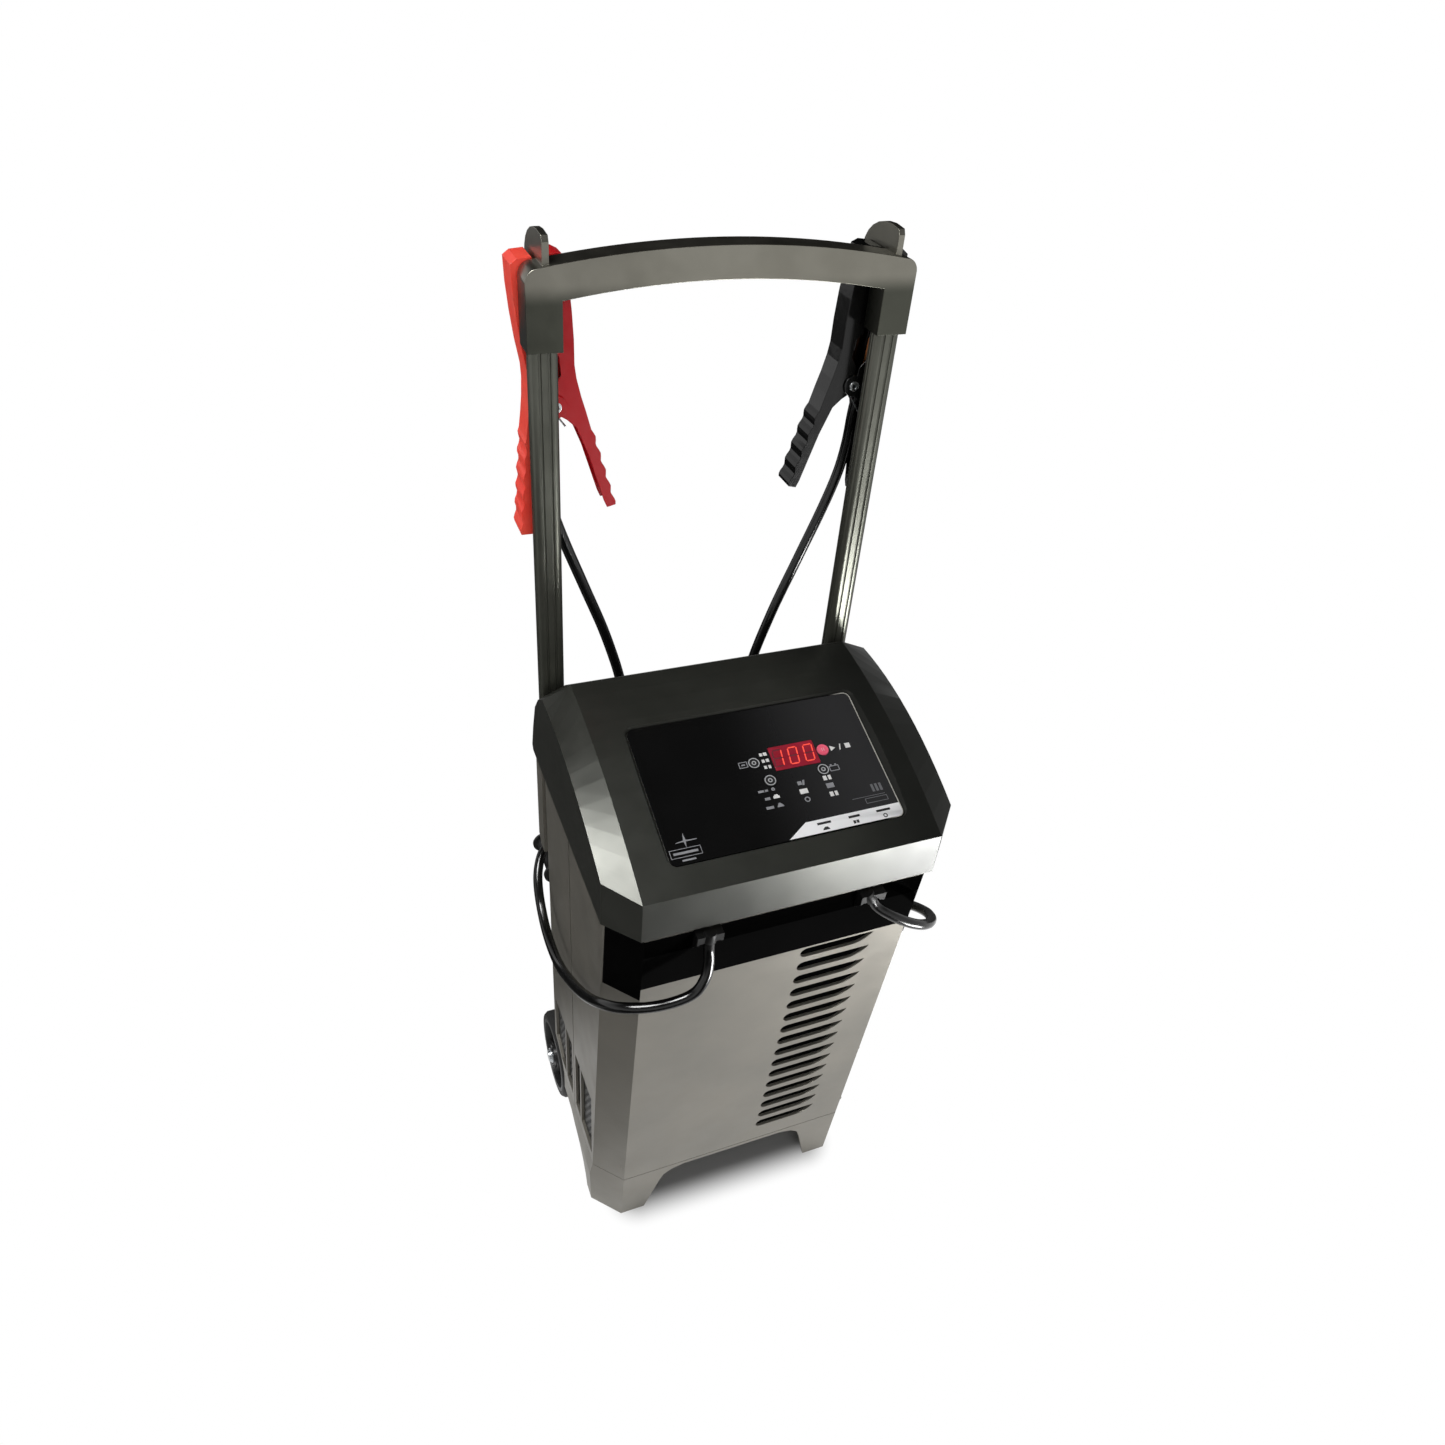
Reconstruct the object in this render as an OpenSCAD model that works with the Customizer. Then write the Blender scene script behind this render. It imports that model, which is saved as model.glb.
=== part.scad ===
// Wheeled battery charger: an upright cabinet on two rear wheels and two front feet, with a
// sloping control head, an arched handle on two tubes, and two battery clamps on its leads.
// +X is the user's right, +Y the rear, +Z up. The floor is z = 0. Millimetres. Depths below are
// measured from a plane frame_y behind the origin, and in_frame() brings every piece forward.

/* [Cabinet] */
// Width of the cabinet at its foot
cabinet_w = 289; // [250:1:330]
// Height of the seam between base and cabinet
seam_z = 78; // [72:1:88]
// Height of the head's lower edge
head_z = 487; // [460:1:520]
// Front face of the cabinet at the seam
front_y = -80; // [-95:1:-72]
// How far the front face leans out up to the head
front_lean = 35.5; // [20:0.5:36]
// Rear face of the cabinet
rear_y = 102; // [98:1:104]
// Plane where the front and rear shells meet
split_y = 15; // [12:1:20]
// Corner chamfer across the front
chamfer_x = 25; // [15:1:35]
// Corner chamfer along the side
chamfer_y = 27; // [15:1:35]
// Wall thickness of the mouldings
wall = 3; // [2.5:0.1:3.5]

/* [Head] */
// Width of the control head
head_w = 300; // [290:1:345]
// Depth of the head's front lip, top to bottom
lip_h = 40; // [36:1:46]
// Height of the ridge above the head's lower edge
ridge_h = 99; // [90:1:110]
// Width of the bevel strips along the head's sides
bevel_w = 24; // [16:1:30]
// Panel width
panel_w = 200; // [196:1:206]
// Panel height up the slope
panel_h = 125; // [122:1:126]
// Sideways offset of the panel
panel_x = 3.5; // [0:0.5:5]

/* [Louvres] */
// Number of louvres
louvre_count = 16; // [8:1:16]
// Louvre pitch up the front face
louvre_pitch = 19.9; // [18:0.1:20]
// Louvre height
louvre_h = 12.5; // [8:0.5:13]

/* [Handle] */
// Height of the handle's top
handle_z = 922; // [850:1:960]
// Centre of each handle tube from the middle
tube_x = 135; // [125:0.5:136]
// Width of a handle tube
tube_w = 21; // [18:0.5:22]
// Depth of a handle tube
tube_d = 14; // [12:0.5:15]

/* [Wheels] */
// Wheel diameter
wheel_d = 98; // [90:1:100]
// Wheel width
wheel_w = 26; // [20:1:28]
// Axle diameter
axle_d = 10; // [8:0.5:12]
// Axle distance behind the plane that depths are measured from
axle_y = 106; // [104:1:110]

/* [Clamps] */
// Lead diameter
lead_d = 9; // [7:0.5:10]
// Width of the outer clamp lever
clamp_w = 25; // [22:0.5:26]
// Pivot distance from the middle
pivot_x = 122.5; // [120:0.5:124]
// Lean of each clamp, top outwards
clamp_tilt = 5.9; // [5:0.1:7]

/* [Hidden] */
$fn = 48;
eps = 0.01;

// Colours
body_grey = "#6f6c65";
head_grey = "#33342f";
tube_grey = "#4a4a40";
black = "#141414";
steel = "#b8b8b8";
copper = "#c08a4a";

// Cabinet
frame_y = 14;
seam_gap = 0.8;
shell_top = head_z + 8;
head_clear = 0.3;
lean_h = head_z - 3 - seam_z;
front_tilt = atan(front_lean / lean_h);
side_lean = 2 / lean_h;
split_gap = 0.8;
lap = 7;
lap_clear = 0.2;
ledge = [34, 22, 3.5];
screw_post_x = cabinet_w / 2 - 26.5;
screw_post_z = [104, 205, 455];
head_screw_x = cabinet_w / 2 - 24.5;
head_screw_at = [[head_screw_x, -66], [head_screw_x, 62]];
foot_inner = cabinet_w / 2 - 50.5;
skirt_z = 56;
skirt_out = 2;
tongue_t = 1.6;
socket_z = 378;
socket_y = 122;
socket_in = min(tube_x - 15, cabinet_w / 2 - 24.5);

// Head
head_front = -120;
head_side_front = -93;
head_rear = 127;
ridge_y = 80;
head_bulge = 11;
side_bulge = 12;
bevel_drop = 11;
side_lip = lip_h + 4;

// Panel
recess = 2.5;
panel_y = -97;
panel_z = head_top(panel_y) - recess;
panel_tilt = atan((head_top(panel_y + panel_h * 0.95) - head_top(panel_y)) / (panel_h * 0.95));
panel_r = 6;
plate_t = 1.2;
pad_t = 2.5;
recess_draft = 0.5;
button_r = 5;
button_gap = 0.3;
button_travel = 0.8;
button_top = 0.8;
display_size = [40, 22.3];
display_at = [29.5, 73.7];
start_at = [55.5, 73.5];
mode_at = [-6.6, 73.3];
rate_at = [1.1, 55];
type_at = [48.6, 55.4];
board_size = [cabinet_w - 139, 96];
board_at = [25, 62];
board_z = -10;

// Louvres
louvre_v = 33;
louvre_right = cabinet_w / 2 - 54.5;
louvre_left = louvre_right - 69;
louvre_step_in = 0.3;
louvre_nose = 22;
insert_t = 10;
gland_v = 396;

// Band under the head: [foot, top] measured up the face, on the face and on the chamfers
band_face = [341, 383];
band_wing = [326, 404];
band_t = 0.5;
band_fold = 0.3;
band_edge = 1;
seat = 0.1;

// Side vents: [front edge, rear edge] of each opening
vent_front = [[-50, -12], [-8, 9]];
vent_rear = [[22, 45], [49, 89]];
vent_z = 94;
screen_t = 1.5;

// Handle
grip_front = 99;
grip_d = 22;
grip_h = 21.5;
grip_arch = 12;
grip_r = 10;
sleeve_w = 25.4;
sleeve_z = handle_z - 68;
tube_y = grip_front + grip_d / 2;
tube_foot = socket_z + 10;
tube_top = handle_z - 27;
tube_fit = 0.1;
hook_x = 132.5;
hook_t = 5;
grip_screw_z = 440;

// Clamps
clamp_y = 135;
pivot_z = handle_z - 116;
rivet_r = 3;
cheek_t = 1.6;
web_t = 2.2;
free_w = clamp_w - 2 * cheek_t - 0.4;
lug_r = 8.5;
jaw_w = 17;
jaw_clear = 0.12;
coil_r = 4.6;
wire_d = 1.6;
coil_turns = 5;
coil_pitch = 2.4;

// Wheels
axle_z = wheel_d / 2;
wheel_out = 146;
wheel_in = wheel_out - wheel_w;
bearing_gap = 0.05;
tyre_t = 8;
axle_block = 112;

// Pegs that the leads hang on behind the cabinet: [distance from the middle, height, radius]
outer_peg = [cabinet_w / 2 - 7.5, 345, 12.5 - lead_d / 2];
inner_peg = [60.6, 436, 9.5 - lead_d / 2];
peg_end = 150;

// Leads, from the gland on the front to the clamp. Points are [x, y, z].
lead_front_left = [
    [-71, -122.2, 473], [-71, -122.6, 463], [-71.5, -126, 452], [-75, -130, 439], [-83, -132, 427],
    [-98, -131, 420], [-119, -127, 416], [-139, -117, 411], [-151, -98, 398], [-156, -68, 374]];
lead_front_right = [
    [71, -122.2, 473], [75, -124, 466.5], [83, -128.5, 460.5], [94, -132.5, 453.5], [107, -134.5, 445.5],
    [120.5, -132.5, 437], [133.5, -125.5, 427.5], [145, -113, 416.5], [153, -94, 402],
    [157.3, -66, 380]];
lead_rest = [
    [-158, -32, 349], [-159, 10, 325], [-159, 50, 318], [-158, 80, 326], [-156, 100, 342],
    [-151, 114, 352], [-143, 126, 358], [-132, 135, 358], [-121, 140, 350], [-115, 142, 334],
    [-113, 143, 300], [-112, 143, 220], [-110, 143, 150], [-105, 142, 104], [-92, 142, 76],
    [-71, 142, 66], [-50, 142, 76], [-38, 142, 104], [-34, 142, 150], [-36, 141, 240],
    [-42, 140, 340], [-51, 138, 436], [-63, 136, 530], [-79, 135, 590], [-99, 135, 645],
    [-117, 135, 694], [-127, 135, pivot_z - 79], [-131, 135, pivot_z - 53],
    [-132.2, 135, pivot_z - 28], [-133.8, 135, pivot_z - 12.3]];
lead_path_left = concat(lead_front_left, lead_rest);
lead_path_right = concat(lead_front_right, [for (p = lead_rest) [-p.x, p.y, p.z]]);
lead_sides = 10;

// ---------------------------------------------------------------- helpers

// Extrudes a [y, z] outline from x0 to x1
module along_x(x0, x1) {
    translate([x0, 0, 0]) rotate([90, 0, 90]) linear_extrude(x1 - x0) children();
}

// Extrudes an [x, z] outline from y0 to y1
module along_y(y0, y1) {
    translate([0, y1, 0]) rotate([90, 0, 0]) linear_extrude(y1 - y0) children();
}

// Draws its children on the right and again on the left
module both_sides() {
    children();
    mirror([1, 0, 0]) children();
}

// Brings the drawing forward so that the origin lies under the middle of the object
module in_frame() {
    translate([0, -frame_y, 0]) children();
}

module rod_x(r, x0, x1, y, z) {
    translate([x0, y, z]) rotate([0, 90, 0]) cylinder(h = x1 - x0, r = r);
}

module rod_y(r, y0, y1, x, z) {
    translate([x, y1, z]) rotate([90, 0, 0]) cylinder(h = y1 - y0, r = r);
}

module round_rect(w, h, r) {
    square([w - 2 * r, h], center = true);
    square([w, h - 2 * r], center = true);
    for (x = [-1, 1], y = [-1, 1]) translate([x * (w / 2 - r), y * (h / 2 - r)]) circle(r);
}

// Places its children on the leaning front face: x across, y inwards, z up the face
module on_front() {
    translate([0, front_y, seam_z]) rotate([front_tilt, 0, 0]) children();
}

// Places its children on the panel: x across from its middle, y up the slope, z outwards
module on_panel() {
    translate([panel_x, panel_y, panel_z]) rotate([panel_tilt, 0, 0]) children();
}

// A bowed line from p to q
function bow(p, q, rise, n) = [for (i = [0:n]) let (t = i / n)
    [p.x + (q.x - p.x) * t, p.y + (q.y - p.y) * t + 4 * rise * t * (1 - t)]];

function unit(v) = v / norm(v);

// Carries a sideways vector along the points without twisting it
function carry(p, i, v) = i == len(p) ? [] : let (
    d = unit(p[min(i + 1, len(p) - 1)] - p[max(i - 1, 0)]),
    s = unit(v - (v * d) * d)) concat([[s, cross(d, s)]], carry(p, i + 1, s));

// A round tube swept along points
module sweep_tube(p, r, sides, start) {
    f = carry(p, 0, start);
    rings = [for (i = [0:len(p) - 1], k = [0:sides - 1])
        p[i] + r * (cos(k * 360 / sides) * f[i][0] + sin(k * 360 / sides) * f[i][1])];
    skin = [for (i = [0:len(p) - 2], k = [0:sides - 1]) let (
        a = i * sides + k, b = i * sides + (k + 1) % sides)
        [a, a + sides, b + sides, b]];
    first = [for (k = [0:sides - 1]) k];
    last = [for (k = [sides - 1:-1:0]) (len(p) - 1) * sides + k];
    polyhedron(points = rings, faces = concat(skin, [first, last]), convexity = 8);
}

// ---------------------------------------------------------------- cabinet

function half_w(z) = cabinet_w / 2 + (z - seam_z) * side_lean;
function edge_x(v) = half_w(seam_z + v * cos(front_tilt));
function face_y(z) = front_y - (z - seam_z) * front_lean / lean_h;

// Plan of the cabinet at height z, drawn in by w
function plan(z, w) = let (
    h = half_w(z) - w, f = face_y(z) + w, cx = chamfer_x - 0.41 * w, cy = chamfer_y - 0.41 * w,
    r = rear_y - w, k = 6)
    [[-h + cx, f], [h - cx, f], [h, f + cy], [h, r - k], [h - k, r], [-h + k, r], [-h, r - k],
     [-h, f + cy]];

module cabinet_block(z0, z1, w) {
    hull() {
        translate([0, 0, z0]) linear_extrude(eps) polygon(plan(z0, w));
        translate([0, 0, z1 - eps]) linear_extrude(eps) polygon(plan(z1, w));
    }
}

module cabinet_skin() {
    difference() {
        cabinet_block(seam_z + seam_gap, shell_top, 0);
        cabinet_block(seam_z - 1, shell_top + 1, wall);
    }
}

module wheel_well() {
    both_sides() rod_x(wheel_d / 2 + 5, axle_block, 160, axle_y, axle_z);
}

// Openings in the cabinet's sides, slanting up towards the front
module vent_cut(rows) {
    both_sides() along_x(cabinet_w / 2 - 14.5, 200) for (r = rows) polygon(vent_outline(r[0], r[1], 0));
}

function vent_top(y) = 183 - 0.12 * y;
function vent_foot(y) = vent_z + max(0, y - 68) * 0.7;
function vent_outline(y0, y1, grow) = [
    [y0, vent_foot(y0) - grow], [min(y1, 68), vent_foot(min(y1, 68)) - grow],
    [y1, vent_foot(y1) - grow], [y1, vent_top(y1) + grow], [y0, vent_top(y0) + grow]];

// One louvre: round at the left, drawn out to a point at the upper right
module louvre_outline(x0, x1, h) {
    r = h / 2;
    run = sqrt(louvre_nose * louvre_nose - (louvre_nose - h) * (louvre_nose - h));
    translate([x0 + r, 0]) circle(r);
    difference() {
        translate([x0 + r, -r]) square([x1 - x0 - r, h]);
        difference() {
            translate([x1 - run, -r - 1]) square([run + 1, h + 1 - eps]);
            translate([x1 - run, -r + louvre_nose]) circle(louvre_nose, $fn = 96);
        }
    }
}

module louvres(y0, y1, grow) {
    for (i = [0:louvre_count - 1]) let (v = louvre_v + i * louvre_pitch)
        on_front() along_y(y0, y1) translate([0, v])
            louvre_outline(louvre_left - grow, louvre_right + grow
                - (louvre_count - 1 - i) * louvre_step_in, louvre_h + 2 * grow);
}

module gland_holes() {
    on_front() both_sides() translate([60, -20, gland_v - 7]) cube([22, 40, 12]);
}

module front_shell() {
    color(body_grey) in_frame() difference() {
        union() {
            cabinet_skin();
            for (z = screw_post_z) both_sides()
                rod_y(5, face_y(z) + wall - 0.5, split_y - split_gap, screw_post_x, z);
            both_sides() translate([half_w(head_z) - ledge.x - 1, head_screw_at[0].y - ledge.y / 2,
                head_z - ledge.z]) cube(ledge);
        }
        translate([-200, split_y - split_gap, 0]) cube([400, 200, 700]);
        louvres(-10, 10, 0);
        vent_cut(vent_front);
        gland_holes();
        for (z = screw_post_z) both_sides() rod_y(1.9, -9, split_y, screw_post_x, z);
        both_sides() translate([head_screw_at[0].x, head_screw_at[0].y, head_z - 10])
            cylinder(h = 20, r = 2.2);
    }
}

module fan_grille() {
    along_y(rear_y - 10, rear_y + 10) for (i = [-3:3]) let (w = 2 * sqrt(37 * 37 - 100 * i * i))
        translate([0, fan_z + 10 * i]) round_rect(w, 5, 2.45);
}

// Blocks behind the cabinet that the handle's tubes stand in
module handle_sockets() {
    color(body_grey) in_frame() both_sides() difference() {
        translate([socket_in, rear_y, socket_z])
            cube([tube_x + 13 - socket_in, socket_y - rear_y, head_z - 0.3 - socket_z]);
        translate([tube_x, socket_y, socket_z]) rotate([45, 0, 0])
            cube([200, 12, 12], center = true);
        translate([tube_x, tube_y, tube_foot]) linear_extrude(200) tube_outline(tube_fit);
        rod_y(2.5, tube_y, socket_y + 5, tube_x, grip_screw_z);
    }
}

// Tongue of the rear shell that laps inside the front one
module shell_tongue() {
    difference() {
        union() {
            difference() {
                cabinet_block(seam_z + 2, shell_top - 1, wall + lap_clear);
                translate([-200, split_y + split_gap + 2, 0]) cube([400, 200, 700]);
            }
            difference() {
                cabinet_block(seam_z + 2, shell_top - 1, wall - 0.5);
                translate([-200, -300, 0]) cube([400, 300 + split_y + split_gap, 700]);
            }
        }
        cabinet_block(seam_z, shell_top, wall + lap_clear + tongue_t);
        translate([-200, -200, 0]) cube([400, 200 + split_y - lap, 700]);
        translate([-200, split_y + 6, 0]) cube([400, 200, 700]);
        vent_cut([[split_y - 20, split_y + 20]]);
    }
}

module rear_shell() {
    color(body_grey) in_frame() difference() {
        union() {
            difference() {
                cabinet_skin();
                translate([-200, -300, 0]) cube([400, 300 + split_y + split_gap, 700]);
            }
            shell_tongue();
            for (z = screw_post_z) both_sides()
                rod_y(6.5, split_y - split_gap + 0.4, rear_y - 1, screw_post_x, z);
            both_sides() translate([half_w(head_z) - ledge.x - 1, head_screw_at[1].y - ledge.y / 2,
                head_z - ledge.z]) cube(ledge);
        }
        wheel_well();
        vent_cut(vent_rear);
        fan_grille();
        rod_y(9, rear_y - 10, rear_y + 10, inlet_x, inlet_z);
        for (z = screw_post_z) both_sides() {
            rod_y(2.2, 0, rear_y, screw_post_x, z);
            rod_y(4.2, 36.4, rear_y + 5, screw_post_x, z);
        }
        both_sides() translate([head_screw_at[1].x, head_screw_at[1].y, head_z - 10])
            cylinder(h = 20, r = 2.2);
    }
}

module base() {
    side_arch = [[-31, -1], [-27, 17], [-20, 33], [-9, 46], [5, 55], [25, 61], [45, 62], [84, 62],
        [84, -1]];
    front_arch = [[-foot_inner, -1], [-foot_inner + 14, 51], [-foot_inner + 18, 62],
        [-foot_inner + 26, 69], [-foot_inner + 39, 73], [foot_inner - 39, 73],
        [foot_inner - 26, 69], [foot_inner - 18, 62], [foot_inner - 14, 51], [foot_inner, -1]];
    color(body_grey) in_frame() difference() {
        union() {
            difference() {
                hull() {
                    cabinet_block(0, seam_z, 0);
                    translate([0, 0, skirt_z]) linear_extrude(eps) polygon(skirt_plan());
                }
                cabinet_block(-1, seam_z - 4, 4);
            }
            both_sides() {
                translate([axle_block - 14, 34, axle_z - 12])
                    cube([14, axle_y + 12 - 34, seam_z - axle_z + 9]);
                foot_ribs();
            }
            translate([-axle_block, rear_y - 14, axle_z - 12])
                cube([2 * axle_block, 5, seam_z - axle_z + 10]);
        }
        along_y(front_y - 30, 0) polygon(front_arch);
        both_sides() along_x(foot_inner + 30, 200) polygon(side_arch);
        wheel_well();
        translate([-110, 80, -1]) cube([220, 80, axle_z - 11]);
        rod_x(axle_d / 2 + 0.05, -200, 200, axle_y, axle_z);
        for (x = [-60:20:60]) translate([x - 4, -40, seam_z - 10]) cube([8, 34, 20]);
    }
}

// Plan of the base where its sides stand out furthest
function skirt_plan() = let (h = half_w(skirt_z), f = face_y(skirt_z), w = skirt_out)
    [[-h + chamfer_x, f], [h - chamfer_x, f], [h + w, f + chamfer_y * (1 + w / chamfer_x)],
     [h + w, axle_y - wheel_d / 2], [-h - w, axle_y - wheel_d / 2],
     [-h - w, f + chamfer_y * (1 + w / chamfer_x)]];

// Ribs that close each front foot behind its outer walls
module foot_ribs() {
    intersection() {
        cabinet_block(0, seam_z - 2, 2);
        union() {
            translate([foot_inner + 2, -60, 0]) cube([60, 5, 90]);
            translate([foot_inner + 20, -90, 0]) cube([4, 42, 90]);
        }
    }
}

// Half of the band's outline, seen from the front: narrow across the face, taller on the chamfer
function band_inner(v) = [edge_x(v) - chamfer_x + band_fold, v];
function band_outer(v) = [edge_x(v) - band_edge, v];
function band_half() = [
    band_inner(band_face[0]), band_inner(band_wing[0]), band_outer(band_wing[0]),
    band_outer(band_wing[1]), band_inner(band_wing[1]), band_inner(band_face[1])];

module front_band() {
    half = band_half();
    other_half = [for (i = [len(half) - 1:-1:0]) [-half[i].x, half[i].y]];
    color(black) in_frame() intersection() {
        difference() {
            cabinet_block(seam_z, head_z, -band_t - seat);
            cabinet_block(seam_z - 1, head_z + 1, -seat);
        }
        on_front() along_y(-10, chamfer_y + 5) polygon(concat(half, other_half));
    }
}

// Block behind the front face that the louvres run on through
module insert_block() {
    run = (louvre_count - 1) * louvre_pitch;
    on_front() translate([louvre_left - 9, wall + 0.15, louvre_v - 14])
        cube([louvre_right - louvre_left + 17, insert_t, run + 28]);
}

module louvre_insert() {
    color(black) in_frame() {
        difference() {
            insert_block();
            louvres(-1, 30, -0.4);
        }
        intersection() {
            insert_block();
            for (i = [0:louvre_count - 1])
                on_front()
                    translate([louvre_left - 7, wall + insert_t / 2, louvre_v + i * louvre_pitch])
                        rotate([-42, 0, 0]) translate([0, -0.6, -10])
                            cube([louvre_right - louvre_left + 13, 1.2, 20]);
        }
    }
}

// Staggered holes of a flat screen, inside the outline [y0, y1] x [vent_z, vent_top]
module screen_holes(y0, y1) {
    for (j = [0:13], i = [0:10]) let (y = y0 + 3 + i * 7 + (j % 2) * 3.5, z = vent_z + 4 + j * 6.4)
        if (y < y1 - 2 && z < vent_top(y) - 3 && z > vent_foot(y) + 3)
            translate([y, z]) circle(2.2, $fn = 6);
}

module vent_screens(rows, y0, y1) {
    x = half_w(vent_z) - wall - 0.15;
    both_sides() along_x(x - screen_t, x) difference() {
        polygon(vent_outline(y0, y1, 5));
        for (r = rows) screen_holes(r[0], r[1]);
    }
}

module vent_screens_front() {
    color("#3c3b38") in_frame() vent_screens(vent_front, vent_front[0][0] - 2, vent_front[1][1] - 3);
}

module vent_screens_rear() {
    color("#3c3b38") in_frame() vent_screens(vent_rear, vent_rear[0][0] + 0.5, vent_rear[1][1] + 2.5);
}

module housing_screws() {
    color(steel) in_frame() for (z = screw_post_z) both_sides() {
        rod_y(1.9, -8, 38, screw_post_x, z);
        rod_y(3.8, 36.5, 39.8, screw_post_x, z);
    }
}

// ---------------------------------------------------------------- head

// Height of the head's top surface along its middle
function head_top(y) = let (t = (y - head_front) / (ridge_y - head_front))
    head_z + lip_h + (ridge_h - lip_h) * t + 4 * head_bulge * t * (1 - t);

function head_back(top, w) = [
    [ridge_y + 17 - 0.6 * w, top - 12 - 0.8 * w], [ridge_y + 30 - 0.85 * w, top - 29 - 0.5 * w],
    [head_rear - 7 - w, top - 57], [head_rear - w, head_z + 5], [head_rear - 3 - w, head_z]];

// Side outline of the head: the middle one is high, the outer one low
function head_side(front, lip, top, rise, w) = concat(
    [[front + w, head_z - (w > 0 ? 1 : 0)]],
    bow([front + w, head_z + lip - w], [ridge_y, top - w], rise, 12),
    head_back(top, w), w > 0 ? [[head_rear - 3 - w, head_z - 1]] : []);

module head_solid(w) {
    top = head_z + ridge_h;
    mid = head_w / 2 - bevel_w;
    side = head_w / 2;
    hull() {
        along_x(-mid + 0.4 * w, mid - 0.4 * w)
            polygon(head_side(head_front, lip_h, top, head_bulge, w));
        along_x(-side + w, side - w)
            polygon(head_side(head_side_front - 0.4 * w, side_lip, top - bevel_drop, side_bulge, w));
    }
}

module tube_outline(grow) {
    round_rect(tube_w + 2 * grow, tube_d + 2 * grow, 5);
}

module head_cover() {
    color(head_grey) in_frame() difference() {
        union() {
            difference() {
                head_solid(0);
                head_solid(wall);
            }
            intersection() {
                head_solid(1);
                head_inside();
            }
        }
        on_panel() hull() {
            translate([0, panel_h / 2, -plate_t]) linear_extrude(eps)
                round_rect(panel_w + 0.6, panel_h + 0.6, panel_r);
            translate([0, panel_h / 2, 30 - plate_t]) linear_extrude(eps)
                round_rect(panel_w + 60 * recess_draft, panel_h + 60 * recess_draft, panel_r + 15);
        }
        difference() {
            cabinet_block(head_z - 1, shell_top + 0.5, -head_clear);
            cabinet_block(head_z - 2, shell_top + 1, wall + head_clear);
        }
        on_panel() panel_holes(-20, button_r + button_gap, 0.25);
        both_sides() translate([tube_x, tube_y, head_z - 1]) linear_extrude(200)
            tube_outline(tube_fit);
        both_sides() for (p = head_screw_at) translate([p.x, p.y, head_z])
            cylinder(h = 18, r = 1.9);
    }
}

// Panel bed, tube sockets, screw bosses and rear floor, before they are trimmed to the head
module head_inside() {
    on_panel() {
        translate([-panel_w / 2 - 5, -5, -plate_t - pad_t])
            cube([panel_w + 10, panel_h + 10, 20]);
        for (x = [-1, 1], y = [-1, 1])
            translate([board_at.x + x * (board_size.x / 2 - 5), board_at.y + y * (board_size.y / 2 - 5),
                board_z + 0.1]) cylinder(h = 8, r = 3);
    }
    both_sides() {
        translate([tube_x - 15, tube_y - tube_d / 2 - 3.5, head_z + 10])
            cube([29, tube_d + 12, 80]);
        for (p = head_screw_at) translate([p.x, p.y, head_z + 0.3]) cylinder(h = 100, r = 5);
    }
    translate([-160, rear_y + 0.4, head_z]) cube([320, 40, 3]);
}

// Openings that the control panel and the head share: display and four buttons
module panel_holes(z0, r, grow) {
    for (p = [start_at, mode_at, rate_at, type_at])
        translate([p.x, p.y, z0]) cylinder(h = -z0 + 10, r = r);
    translate([display_at.x, display_at.y, z0]) linear_extrude(-z0 + 10)
        square([display_size.x + 2 * grow, display_size.y + 2 * grow], center = true);
}

module control_panel() {
    color("#0c0c0d") in_frame() on_panel() difference() {
        translate([0, panel_h / 2, -plate_t + 0.05]) linear_extrude(plate_t - 0.05)
            round_rect(panel_w, panel_h, panel_r - 0.3);
        panel_holes(-20, button_r + button_gap, 0.25);
    }
}

module info_strip() {
    strip_h = 12.3;
    edge = panel_w / 2 - 0.7;
    r = panel_r - 1;
    color("#c8c9cb") in_frame() on_panel() translate([0, 0, 0.02]) linear_extrude(0.3) {
        polygon([[-2.5, 0.7], [edge - r, 0.7], [edge - r, strip_h], [15.5, strip_h]]);
        translate([edge - r - eps, 0.7 + r]) square([r + eps, strip_h - 0.7 - r]);
        translate([edge - r, 0.7 + r]) circle(r);
    }
}

module display_window() {
    color("#8a0e18") in_frame() on_panel() translate([display_at.x, display_at.y, -plate_t - pad_t + 0.1])
        linear_extrude(plate_t + pad_t + 0.1) round_rect(display_size.x, display_size.y, 0.8);
}

module panel_button(at, tint) {
    color(tint) in_frame() on_panel() translate([at.x, at.y, 0]) {
        difference() {
            translate([0, 0, -5.3]) cylinder(h = 5.3 + button_top, r = button_r);
            translate([0, 0, button_top - 0.3]) difference() {
                cylinder(h = 1, r = 3.9);
                translate([0, 0, -1]) cylinder(h = 3, r = 2.6);
            }
        }
        translate([0, 0, -5.3]) cylinder(h = 1.4, r = 6.3);
    }
}

module start_stop_button() { panel_button(start_at, "#d8405a"); }
module mode_button() { panel_button(mode_at, "#9a9a9a"); }
module rate_button() { panel_button(rate_at, "#9a9a9a"); }
module type_button() { panel_button(type_at, "#9a9a9a"); }

module display_module() {
    color("#2a0d10") in_frame() on_panel() translate([display_at.x, display_at.y, board_z])
        linear_extrude(-board_z - 4.4) round_rect(38, 20, 1);
}

module control_board() {
    color("#1f5a34") in_frame() on_panel() translate([board_at.x, board_at.y, board_z - 1.6])
        linear_extrude(1.6) square(board_size, center = true);
}

module tact_switches() {
    color(black) in_frame() on_panel() for (p = [start_at, mode_at, rate_at, type_at])
        translate([p.x, p.y, board_z]) {
            translate([-3, -3, 0]) cube([6, 6, 3]);
            cylinder(h = -board_z - 5.3 - button_travel - 0.1, r = 1.7);
        }
}

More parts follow.
